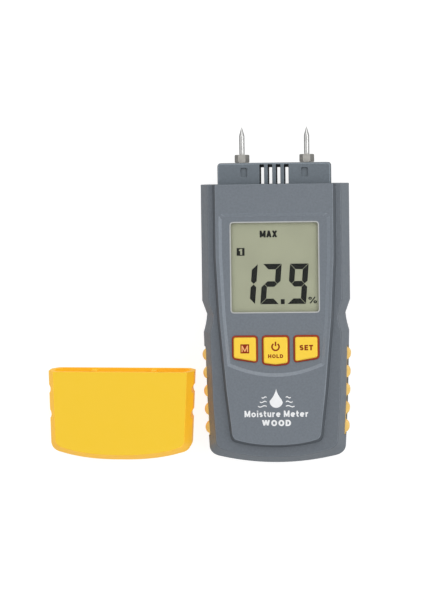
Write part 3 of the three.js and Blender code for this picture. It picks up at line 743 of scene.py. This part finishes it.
def front_shell():
    """Front shell with its raised panel, sunken face, window, key holes and openings."""
    shell = front_block("front_shell_fine", 0, 12)
    cut(shell, block("under", (-FAR, -2 * FAR, -FAR), (FAR, 2 * FAR, FRONT_RIM_Z)))
    clean(shell)
    soften(shell, SHELL_EDGE, 3)
    cut(shell, loft("recess", [
        at(recess_outline(0), PANEL_Z - RECESS_DEPTH),
        at(recess_outline(1), PANEL_Z + 0.02),
        at(recess_outline(1), PANEL_Z + 1),
    ]))
    cut(shell, front_block("cavity", WALL, 6))
    half, bottom, top, corner = WINDOW.values()
    cut(shell, prism("window", [rectangle(-half, half, bottom, top, corner)], *FRONT_CUT))
    for outline in KEYS.values():
        cut(shell, prism("key_hole", [outline(KEY_GAP)], *FRONT_CUT))
    cut(shell, grip_groove(), head_opening())
    clean(shell)
    soften(shell, CUT_EDGE, 3, 30)
    return fit(shell, HOUSING, "meter", "front_shell")


def grip_strip(node, sign):
    """Thin band with five rounded pads that stand out of the side."""
    low, high = box_mm(node)
    pads, first, pitch, length, proud, base = GRIP_PADS.values()
    rows, columns, inner = GRIP_MESH.values()
    mid_z, half_z = (low.z + high.z) / 2, (high.z - low.z) / 2
    points, faces = [], []

    def side_x(y):
        return HALF_WIDTH["below_waist"] - (WAIST["end"] - y) * SIDE_TAPER

    for i in range(rows + 1):
        y = low.y + (high.y - low.y) * i / rows
        index = min(pads - 1, max(0, round((first - y) / pitch)))
        across = abs(y - (first - index * pitch)) / (length / 2)
        pad = max(0.0, 1 - across ** 2) ** 0.5 if across < 1 else 0.0
        for k in range(columns + 1):
            part = -1 + 2 * k / columns
            edge = max(0.0, 1 - abs(part) ** 6) ** 0.5
            x = side_x(y) - base + proud * pad * edge
            points.append((sign * x, y, mid_z + half_z * part))
    front = len(points)
    points += [(sign * (side_x(y) - inner), y, z) for _, y, z in points[:front]]
    width = columns + 1
    for i in range(rows):
        for k in range(columns):
            a = i * width + k
            faces.append((a, a + 1, a + width + 1, a + width))
            faces.append((front + a, front + a + width, front + a + width + 1, front + a + 1))
    rim = list(range(width)) + [i * width + columns for i in range(1, rows + 1)]
    rim += [rows * width + k for k in range(columns - 1, -1, -1)]
    rim += [i * width for i in range(rows - 1, 0, -1)]
    for a, b in zip(rim, rim[1:] + rim[:1]):
        faces.append((a, b, front + b, front + a))
    strip = mesh_object(node + "_fine", points, faces)
    return fit(strip, GRIP, "meter", node)


def key(node):
    """Key cap with a softly crowned top, on a collar that fills the gap round it and a wider foot."""
    foot_z = box_mm(node)[0].z
    outline = KEYS[node]
    rings = [at(outline(0), foot_z), at(outline(0), KEY_FACE_Z - KEY_RIM)]
    rings += [at(outline(-inward), KEY_FACE_Z - KEY_RIM * share) for inward, share in KEY_CROWN]
    cap = loft(node + "_fine", rings)
    # The collar carries the key's painted red-brown shade into the gap round it.
    join(cap, prism("collar", [outline(KEY_GAP - 0.1)], foot_z, PANEL_Z - RECESS_DEPTH - 0.2))
    join(cap, prism("foot", [outline(KEY_GAP + 0.2)], foot_z, foot_z + 1))
    return fit(cap, KEY, BODY_OF[node], node)


# ---- Probe head and pins ----


def probe_head():
    """Square-ended head with its slots, snap pockets and pin bores, on its flange."""
    (z0, z1), top = HEAD_FACES, HEAD_HIGH.y
    middle_z = (z0 + z1) / 2
    face = rectangle(-HEAD_HALF, HEAD_HALF, TOP_Y - 10, top, HEAD_CORNER)
    head = prism("probe_head_fine", [face], z0, z1)
    cut(head, block("behind", (-FAR, TOP_Y - 20, 0), (FAR, HEAD_LOW.y, 30)))
    soften(head, HEAD_EDGE, 4)
    for i in range(4):
        for side, low, high in (("front", middle_z, 30), ("back", 0, middle_z + 1)):
            x, half = (i - 1.5) * SLOT_PITCH, SLOT_WIDTH[side] / 2
            cut(head, block("slot", (x - half, SLOT_FOOT, low), (x + half, SLOT_TOP[side], high)))
    pocket_x, half, y0, y1, corner, depth = POCKET.values()
    for sign in (-1, 1):
        x = sign * pocket_x
        pocket = rectangle(x - half, x + half, y0, y1, corner)
        cut(head, prism("pocket", [pocket], z1 - depth, z1 + 1))
        bore = turned("bore", [(0, TOP_Y), (PIN_HOLE, TOP_Y), (PIN_HOLE, top + 5), (0, top + 5)], 32)
        cut(head, place(bore, along_y(sign * PIN_X, middle_z)))
    join(head, block("flange", HEAD_LOW, (HEAD_HIGH.x, HEAD_FLANGE_Y, HEAD_HIGH.z)))
    clean(head)
    soften(head, HEAD_CUT_EDGE, 3, 40)
    return fit(head, HEAD, "meter", "probe_head")


def pin_nut(node):
    """Hexagon nut with chamfered corners and a bore."""
    low, high = box_mm(node)
    x, z = (low.x + high.x) / 2, (low.z + high.z) / 2
    corner = (high.x - low.x) / 2
    start, end = HEAD_HIGH.y + 0.05, high.y
    hexagon = [(corner * math.cos(a), corner * math.sin(a)) for a in (math.pi * k / 3 for k in range(6))]
    nut = prism(node + "_fine", [hexagon], start, end)
    chamfer, drop, bore = corner * NUT["chamfer"], NUT["drop"], NUT["bore"]
    rounder = turned("rounder", [(0, start - 0.01), (chamfer, start - 0.01), (corner + 0.02, start + drop),
                                 (corner + 0.02, end - drop), (chamfer, end + 0.01), (0, end + 0.01)], 64)
    combine(nut, "INTERSECT", rounder)
    cut(nut, turned("bore", [(0, start - 1), (bore, start - 1), (bore, end + 1), (0, end + 1)], 32))
    place(nut, along_y(x, z))
    clean(nut)
    soften(nut, NUT["edge"], 2, 25)
    return fit(nut, NICKEL, "meter", node)


def needle(node):
    """Ground steel needle: threaded shank, shoulder, slim body and cone."""
    low, high = box_mm(node)
    x, z = (low.x + high.x) / 2, (low.z + high.z) / 2
    radius = (high.x - low.x) / 2
    play, thread, pitch, shoulder, cone, waist = NEEDLE.values()
    shank, root = radius - play, radius - play - thread
    profile = [(0, low.y), (root, low.y), (shank, low.y + 0.3)]
    y = low.y + 0.6
    while y < HEAD_HIGH.y:
        profile += [(shank, y), (root, y + 0.22), (shank, y + 0.44)]
        y += pitch
    profile += [(shank, shoulder), (radius, shoulder + 0.1)]
    profile += [(radius, cone - 0.6), (radius - 0.02, cone - 0.3), (radius - 0.1, cone + 0.1)]
    profile += [(waist, high.y - 1.6), (0.16, high.y - 0.25), (0.07, high.y - 0.04), (0, high.y)]
    made = place(turned(node + "_fine", profile, 40), along_y(x, z))
    return fit(made, STEEL, "meter", node)


# ---- Display ----

DIGITS = {"1": "BC", "2": "ABGED", "9": "ABCDFG"}
DIGIT_X = {"1": -16.57, "2": -6.37, "9": 5.15}
DIGIT_SIZE = (8.8, 7.95, 17.2, 2.35)          # lower edge, width, height and stroke
DIGIT_LEAN = math.tan(math.radians(4.5))
DIGIT_SPLIT = 0.12                            # half the gap between two segments
POINT = (2.38, 4.04, 8.76, 10.88)             # boxes are x0, x1, y0, y1
BADGE = (-16.2, -12.85, 29.6, 32.9)
BADGE_NUMBER = (-15.25, -13.85, 30.0, 32.5)
MAX_WORD = (-6.31, 1.18, 37.3, 40.2)
PERCENT = (14.1, 17.82, 9.0, 11.8)
LCD_LAYER = (0.01, 0.05)                      # printed layers: their heights above what they lie on
PANEL_LAYER = (0.005, 0.035)
KEY_LAYER = (0.004, 0.03)


def digit_outlines(digit):
    """The lit segments of a seven-segment digit, leaning right."""
    (y0, w, h, s), g, x0 = DIGIT_SIZE, DIGIT_SPLIT, DIGIT_X[digit]
    m = h / 2
    segments = {
        "A": [(g, h), (w - g, h), (w - s - g, h - s), (s + g, h - s)],
        "D": [(g, 0), (s + g, s), (w - s - g, s), (w - g, 0)],
        "G": [(s * 0.5 + g, m), (s + g, m + s / 2), (w - s - g, m + s / 2), (w - s * 0.5 - g, m),
              (w - s - g, m - s / 2), (s + g, m - s / 2)],
        "F": [(0, h - g), (s, h - s - g), (s, m + s / 2 + g), (s * 0.5, m + g), (0, m + s / 2 + g)],
        "E": [(0, g), (0, m - s / 2 - g), (s * 0.5, m - g), (s, m - s / 2 - g), (s, s + g)],
    }
    segments["B"] = [(w - x, y) for x, y in segments["F"]]
    segments["C"] = [(w - x, y) for x, y in segments["E"]]
    return [[(x0 + x + DIGIT_LEAN * y, y0 + y) for x, y in segments[name]] for name in DIGITS[digit]]


def ribbon(points, thick):
    """Outline of a band of even thickness along a smooth run of points."""
    left, right = [], []
    last = len(points) - 1
    for i, here in enumerate(points):
        before = Vector(points[max(i - 1, 0)])
        after = Vector(points[min(i + 1, last)])
        along = (after - before).normalized()
        side = Vector((-along.y, along.x)) * thick / 2
        if 0 < i < last:
            turn = (Vector(here) - before).normalized()
            side /= max(0.5, along.dot(turn))
        left.append(tuple(Vector(here) + side))
        right.append(tuple(Vector(here) - side))
    return left + right[::-1]


def arc(x, y, rx, ry, start, end, steps=14):
    """Points on an ellipse between two angles in degrees."""
    angles = [math.radians(start + (end - start) * i / steps) for i in range(steps + 1)]
    return [(x + rx * math.cos(a), y + ry * math.sin(a)) for a in angles]


def glyph(letter, t):
    """Advance width and centre-line strokes of a letter with cap height 1 and stroke weight t."""
    h = t / 2
    low = 0.73                                     # height of the small letters
    r = (low - t) / 2                              # radius of their bowls
    mid = low / 2
    bowl = arc(r + h, mid, r, r, 0, 360, 24)
    m, a, w, x = 0.92, 0.84, 1.10, 0.80            # widths of the broad capitals
    wide = {
        "M": (m, [[(h, 0), (h, 1)], [(h, 1), (m / 2, h)],
                  [(m / 2, h), (m - h, 1)], [(m - h, 1), (m - h, 0)]]),
        "A": (a, [[(h * 1.1, 0), (a / 2, 1)], [(a / 2, 1), (a - h * 1.1, 0)], [(0.2, 0.28), (0.64, 0.28)]]),
        "W": (w, [[(h, 1), (0.32, h)], [(0.32, h), (w / 2, 1)],
                  [(w / 2, 1), (0.78, h)], [(0.78, h), (w - h, 1)]]),
        "X": (x, [[(h, 0), (x - h, 1)], [(h, 1), (x - h, 0)]]),
        "E": (0.62, [[(h, 0), (h, 1)], [(0, h), (0.62, h)],
                     [(0, 0.5), (0.57, 0.5)], [(0, 1 - h), (0.62, 1 - h)]]),
        "T": (0.68, [[(0.34, 0), (0.34, 1)], [(0, 1 - h), (0.68, 1 - h)]]),
        "H": (0.72, [[(h, 0), (h, 1)], [(0.72 - h, 0), (0.72 - h, 1)], [(0, 0.5), (0.72, 0.5)]]),
        "L": (0.60, [[(h, 0), (h, 1)], [(0, h), (0.60, h)]]),
        "1": (0.40, [[(0.40 - h, 0), (0.40 - h, 1)], [(0.02, 0.72), (0.40 - h, 1 - h)]]),
        "O": (0.82, [arc(0.41, 0.5, 0.41 - h, 0.5 - h, 0, 360, 32)]),
        "D": (0.74, [[(h, 0), (h, 1)], [(0, h), (0.36, h)], [(0, 1 - h), (0.36, 1 - h)],
                     arc(0.35, 0.5, 0.39 - h, 0.5 - h, -90, 90, 18)]),
        "S": (0.66, [arc(0.33, 0.74 - h / 2, 0.33 - h, 0.26 - h / 2, 25, 250, 16)
                     + arc(0.33, 0.26 + h / 2, 0.33 - h, 0.26 - h / 2, 70, -155, 16)]),
        "%": (0.95, [arc(0.2, 0.78, 0.2 - h, 0.22 - h, 0, 360, 20),
                     arc(0.75, 0.22, 0.2 - h, 0.22 - h, 0, 360, 20), [(0.2, 0), (0.75, 1)]]),
        "o": (2 * r + t, [bowl]),
        "i": (t, [[(h, 0), (h, low)], [(h, 0.85), (h, 1)]]),
        "r": (0.44, [[(h, 0), (h, low)], arc(0.36, low - 0.36, 0.36 - h, 0.36 - h, 180, 78, 10)]),
        "t": (0.42, [[(0.16, h + 0.1), (0.16, 0.96)], [(0, low - h), (0.42, low - h)],
                     arc(0.36, h + 0.16, 0.2, 0.16, 180, 275, 8)]),
        "u": (0.62, [[(h, 0.29), (h, low)], [(0.62 - h, 0), (0.62 - h, low)],
                     arc(0.31, 0.3, 0.31 - h, 0.3 - h, 180, 360, 16)]),
        "e": (2 * r + t, [[(h, mid), (2 * r + h, mid)], arc(r + h, mid, r, r, 0, 315, 22)]),
        "s": (0.54, [arc(0.27, low * 0.75 - h / 2, 0.27 - h, low * 0.25 - h / 2, 30, 250, 12)
                     + arc(0.27, low * 0.25 + h / 2, 0.27 - h, low * 0.25 - h / 2, 70, -150, 12)]),
    }
    return wide[letter]


def lettering(name, words, area, z0, z1, weight, space=0.16):
    """Printed words that fill an area, as a thin raised layer."""
    x0, x1, y0, y1 = area
    pieces, pen = [], 0.0
    for letter in words:
        if letter == " ":
            pen += 0.34
            continue
        advance, strokes = glyph(letter, weight)
        for stroke in strokes:
            half = len(stroke) // 2
            closed = math.dist(stroke[0], stroke[-1]) < 1e-6
            runs = [stroke[:half + 1], stroke[half:]] if closed else [stroke]
            pieces += [[(pen + x, y) for x, y in ribbon(run, weight)] for run in runs]
        pen += advance + space
    width = pen - space
    scale_x, scale_y = (x1 - x0) / width, y1 - y0
    placed = [[(x0 + x * scale_x, y0 + y * scale_y) for x, y in piece] for piece in pieces]
    made = prism(name, placed[:1], z0, z1)
    for piece in placed[1:]:
        join(made, prism("stroke", [piece], z0, z1))
    combine(made, "INTERSECT", block("clip", (x0, y0, z0 - 1), (x1, y1, z1 + 1)))
    return clean(made)


def display():
    """Display glass with its lit segments, the lens over it and a pale ring painted in as the highlight on
    the window's edge.
    """
    glass = prism("lcd_glass_fine", [rectangle(LCD_LOW.x, LCD_HIGH.x, LCD_LOW.y, LCD_HIGH.y)],
                  LCD_LOW.z, LCD_HIGH.z)
    soften(glass, GLASS_EDGE, 2)
    fit(glass, LCD_FILM, "meter", "lcd_glass")
    z0, z1 = (LCD_HIGH.z + height for height in LCD_LAYER)
    lit = [rectangle(*POINT)]
    for digit in DIGITS:
        lit += digit_outlines(digit)
    fit(prism("lcd_digits", lit, z0, z1), LCD_INK, "meter", slot="frame_plastic")
    printed = [
        lettering("lcd_max", "MAX", MAX_WORD, z0, z1, 0.28, 0.06),
        lettering("lcd_percent", "%", PERCENT, z0, z1, 0.14),
        prism("lcd_badge", [rectangle(*BADGE)], z0, z1),
    ]
    for piece in printed:
        fit(piece, LCD_INK, "meter", slot="frame_plastic")
    number = lettering("lcd_badge_number", "1", BADGE_NUMBER, z1, z1 + 0.03, 0.24)
    fit(number, LCD_FILM, "meter", slot="lcd")
    face = rectangle(LENS_LOW.x, LENS_HIGH.x, LENS_LOW.y, LENS_HIGH.y, LENS_CORNER)
    lens = prism("display_lens_fine", [face], LENS_LOW.z, LENS_HIGH.z)
    soften(lens, LENS_EDGE, 3)
    fit(lens, LENS, "meter", "display_lens")
    half, bottom, top, corner = WINDOW.values()
    # Painted highlight: a pale ring just inside the window's edge, above the lens.
    rim = prism("painted_window_edge_highlight", [rectangle(-half, half, bottom, top, corner)], LENS_HIGH.z + 0.02,
                PANEL_Z - RECESS_DEPTH - 0.02)
    half, bottom, top = half - TRIM_WIDTH, bottom + TRIM_WIDTH, top - TRIM_WIDTH
    cut(rim, prism("opening", [rectangle(-half, half, bottom, top, corner - TRIM_WIDTH)], 0, 30))
    fit(rim, WINDOW_EDGE_HIGHLIGHT, "meter", slot="lens_plastic")


# ---- Printing ----

DROP = {"x": 0.0, "y": -32.5, "radius": 2.85, "tip": -27.2, "neck": (0.5, 2.6)}
RIPPLE = {"rows": 3, "start": 4.1, "length": 3.7, "shorter": 0.8, "low": -34.7, "pitch": 1.9, "wave": 0.28,
          "half": 0.22}
NAME_LINES = [
    ("print_name", "Moisture Meter", (-13.6, 13.6, -39.3, -36.55), 0.22),
    ("print_use", "WOOD", (-6.2, 6.2, -43.2, -40.55), 0.25),
]
POWER_SIGN = {"x": 0.0, "y": -9.25, "outer": 1.85, "inner": 1.2, "opening": math.radians(36)}
POWER_BAR = (-0.32, 0.32, -8.95, -7.05)
MODE_SQUARE = (-14.97, -11.23, -11.95, -8.05)
MODE_LETTER = (-14.5, -11.7, -11.35, -8.65)
HOLD_WORD = (-3.2, 3.2, -14.05, -12.45)
SET_WORD = (10.25, 15.95, -10.85, -8.55)


def droplet_mark(z0, z1):
    """Generic mark: a water drop between short ripples."""
    x, y, radius, tip, (neck_x, neck_y) = DROP.values()
    drop = [(x, tip)] + curve((x, tip), (x - neck_x, y + neck_y), (x - radius, y), 8)
    turns = [math.pi * i / 16 for i in range(1, 16)]
    drop += [(x - radius * math.cos(a), y - radius * math.sin(a)) for a in turns]
    drop += curve((x + radius, y), (x + neck_x, y + neck_y), (x, tip), 8)[:-1]
    outlines = [drop]
    rows, start, longest, shorter, lowest, pitch, height, half = RIPPLE.values()
    for sign in (-1, 1):
        for row in range(rows):
            length, level = longest - shorter * row, lowest + row * pitch
            wave = [(start + length * i / 10, level + height * math.sin(i * 0.63)) for i in range(11)]
            band = [(sign * a, b + half) for a, b in wave]
            outlines.append(band + [(sign * a, b - half) for a, b in reversed(wave)])
    return prism("mark_droplet", outlines, z0, z1)


def printing():
    """White printing on the panel."""
    z0, z1 = (PANEL_Z + height for height in PANEL_LAYER)
    fit(droplet_mark(z0, z1), WHITE_INK, "meter", slot="housing_plastic")
    for name, words, area, weight in NAME_LINES:
        fit(lettering(name, words, area, z0, z1, weight), WHITE_INK, "meter", slot="housing_plastic")


def key_legends():
    """Letters and signs printed on the three keys."""
    z0, z1 = (KEY_FACE_Z + height for height in KEY_LAYER)
    square = prism("legend_mode_square", [rectangle(*MODE_SQUARE)], z0, z1)
    fit(square, LEGEND, "mode_key", slot="keypad_rubber")
    letter = lettering("legend_mode", "M", MODE_LETTER, z1, z1 + 0.02, 0.15)
    fit(letter, LEGEND_LIGHT, "mode_key", slot="key_rubber")
    x, y, outer, inner, opening = POWER_SIGN.values()
    sweep = [math.pi / 2 + opening + (2 * math.pi - 2 * opening) * i / 36 for i in range(37)]
    ring = [(x + outer * math.cos(a), y + outer * math.sin(a)) for a in sweep]
    ring += [(x + inner * math.cos(a), y + inner * math.sin(a)) for a in reversed(sweep)]
    legends = [
        (prism("legend_power", [ring, rectangle(*POWER_BAR)], z0, z1), "power_key"),
        (lettering("legend_hold", "HOLD", HOLD_WORD, z0, z1, 0.24), "power_key"),
        (lettering("legend_set", "SET", SET_WORD, z0, z1, 0.25), "set_key"),
    ]
    for legend, body in legends:
        fit(legend, LEGEND, body, slot="keypad_rubber")


# ---- Pin cap ----


def cap_outline(inset, fine=12):
    """Outline of the cap about its own mouth centre, closed end towards -Y, corners tighter further in."""
    mouth, foot, end = *CAP_HALF.values(), -CAP_LENGTH
    widest_turn, tighter, rise, pull_in, pull_up = CAP_CORNER.values()
    turn = widest_turn - tighter * inset
    side_foot = (foot - inset, end + rise + turn + inset)
    corner = (foot - turn - inset, end + rise + inset)
    tip = (0, end + inset)
    right = [(mouth - inset, OVERRUN), (mouth - inset, 0), side_foot]
    right += curve(side_foot, (foot - pull_in - inset, end + rise + pull_up + inset), corner, fine)
    right += curve(corner, (foot / 2, end - 0.2 + inset), tip, fine)
    return mirrored(right)


def cap_body(name, wall, fine):
    """The cap as a solid block, shrunk by a wall."""
    slope_in, slope_high = CAP_SLOPE
    z0, z1 = CAP_LOW.z + wall, CAP_HIGH.z - wall
    return loft(name, [
        at(cap_outline(wall + slope_in, fine), z0),
        at(cap_outline(wall, fine), z0 + slope_high),
        at(cap_outline(wall, fine), z1 - slope_high),
        at(cap_outline(wall + slope_in, fine), z1),
    ])


def pin_cap():
    """Hollow cap with two finger notches on each side and ribs inside its mouth."""
    cap = cap_body("pin_cap_fine", 0, 14)
    for sign in (-1, 1):
        for y in CAP_NOTCH_Y:
            wall_x = CAP_HALF["mouth"] + y * CAP_TAPER
            notch = circle(sign * (wall_x + CAP_NOTCH["out"]), y, CAP_NOTCH["radius"])
            cut(cap, prism("notch", [notch], -1, 40))
    clean(cap)
    soften(cap, CAP_EDGE, 5, 28)
    cut(cap, block("mouth", (-FAR, 0, -FAR), (FAR, FAR, FAR)))
    cut(cap, cap_body("inside", CAP_WALL, 8))
    rib_x, half, length, low, high = CAP_RIB.values()
    for sign in (-1, 1):
        x0, x1 = sign * rib_x - half, sign * rib_x + half
        for z0, z1 in (low, high):
            join(cap, block("rib", (x0, -length, z0), (x1, -0.8, z1)))
    clean(cap, merge=1e-5)
    soften(cap, CAP_RIM_EDGE, 2, 40)
    spot = Matrix.Translation(Vector((*CAP_PLACE, 0)) * MM)
    place(cap, spot @ Matrix.Rotation(math.radians(CAP_TURN), 4, "Z"))
    return fit(cap, CAP, "cap", "pin_cap")


# ---- Carried-over pieces ----


EDGES = {
    "back_shell": 0.3, "battery_door": 0.2, "lcd_frame": 0.2, "contact_strip": 0.3, "main_board": 0.1,
    "processor_chip": 0.15, "crystal_can": 0.4, "keypad_mat": 0.3,
}
SMALL_EDGE = 0.12


def refined(node, width, segments=2, angle=35):
    """A copy of a CAD piece with its edges rounded, standing for it."""
    made = link(bpy.data.objects.new(node + "_fine", frame["nodes"][node].data.copy()))
    clean(made, 1.0)
    soften(made, width, segments, angle)
    return fit(made, LOOK_OF_SLOT[SLOT_OF[node]], BODY_OF[node], node)


def carried_over():
    """Every other CAD piece keeps its shape, with rounded edges and its own finish."""
    for node in frame["nodes"]:
        if not frame["nodes"][node].hide_render:
            refined(node, EDGES.get(node, SMALL_EDGE))


# ---- Stage ----


LIGHTS = {                        # place and width in millimetres, and share of full white at the object
    "right_light": ((1400, 200, 1600), 1800, 0.30),
    "left_light": ((-1400, 0, 1600), 1800, 0.12),
    "far_light": ((-100, 1600, 1500), 1800, 0.24),
    "near_light": ((-100, -1600, 1500), 1800, 0.10),
}
LIGHT_TARGET = Vector((-20, 0, 10))
FLOOR_REACH, FLOOR_DROP = 3000, 0.02
FLOOR_ALBEDO, FLOOR_GLOW = 0.28, 0.84
SKY_LEVEL = 0.35
CAMERA_TARGET = Vector((-27.6, 10.3, 13.5))
CAMERA_DISTANCE, VIEW_HEIGHT = 1100, 258.6
CAMERA_LEAN = {"right": math.radians(3.4), "far": math.radians(3.0), "roll": math.radians(-0.75)}


def stage():
    """Pale floor that gives a little light back, as the paper on a light table does."""
    corners = rectangle(-FLOOR_REACH, FLOOR_REACH, -FLOOR_REACH, FLOOR_REACH)
    floor = mesh_object("floor", at(corners, -FLOOR_DROP), [(0, 1, 2, 3)])
    look = Look("floor_paper", 0.9, specular=0.1)
    look.mottle((FLOOR_ALBEDO,) * 3, 0.01, 60)
    look.set("Emission Color", (1, 1, 1, 1))
    look.set("Emission Strength", FLOOR_GLOW)
    floor.data.materials.append(look.material)
    floor.visible_glossy = False
    world = bpy.data.worlds.new("studio")
    world.use_nodes = True
    background = world.node_tree.nodes["Background"]
    background.inputs["Color"].default_value = (1, 1, 1, 1)
    background.inputs["Strength"].default_value = SKY_LEVEL
    bpy.context.scene.world = world


def soft_light(name, place_mm, size_mm, level):
    """Round soft box aimed at the object, giving the named share of full white there."""
    toward = LIGHT_TARGET - Vector(place_mm)
    light = bpy.data.lights.new(name, "AREA")
    light.shape = "DISK"
    light.size = size_mm * MM
    light.energy = level * math.pi ** 2 * (toward.length * MM) ** 2 * toward.length / -toward.z
    holder = link(bpy.data.objects.new(name, light))
    holder.location = Vector(place_mm) * MM
    holder.rotation_mode = "QUATERNION"
    holder.rotation_quaternion = toward.to_track_quat("-Z", "Y")


def camera():
    """Looks almost straight down, leaning a little to the right side and to the pins' end."""
    right, far, roll = CAMERA_LEAN.values()
    back = Vector((math.tan(right), math.tan(far), 1)).normalized()
    up = (Vector((0, 1, 0)) - back.y * back).normalized()
    turn = Matrix((up.cross(back), up, back)).transposed() @ Matrix.Rotation(roll, 3, "Z")
    data = bpy.data.cameras.new("camera")
    data.lens = data.sensor_width * CAMERA_DISTANCE / VIEW_HEIGHT
    holder = link(bpy.data.objects.new("camera", data))
    holder.matrix_world = Matrix.Translation((CAMERA_TARGET + back * CAMERA_DISTANCE) * MM) @ turn.to_4x4()
    bpy.context.scene.camera = holder


bpy.context.scene.view_settings.view_transform = "Standard"
camera()
stage()
for light_name, settings in LIGHTS.items():
    soft_light(light_name, *settings)

front_shell()
for strip, side in (("grip_strip_left", -1), ("grip_strip_right", 1)):
    grip_strip(strip, side)
for button in KEYS:
    key(button)
probe_head()
for side in ("left", "right"):
    pin_nut("pin_nut_" + side)
    needle("needle_" + side)
display()
printing()
key_legends()
pin_cap()
carried_over()
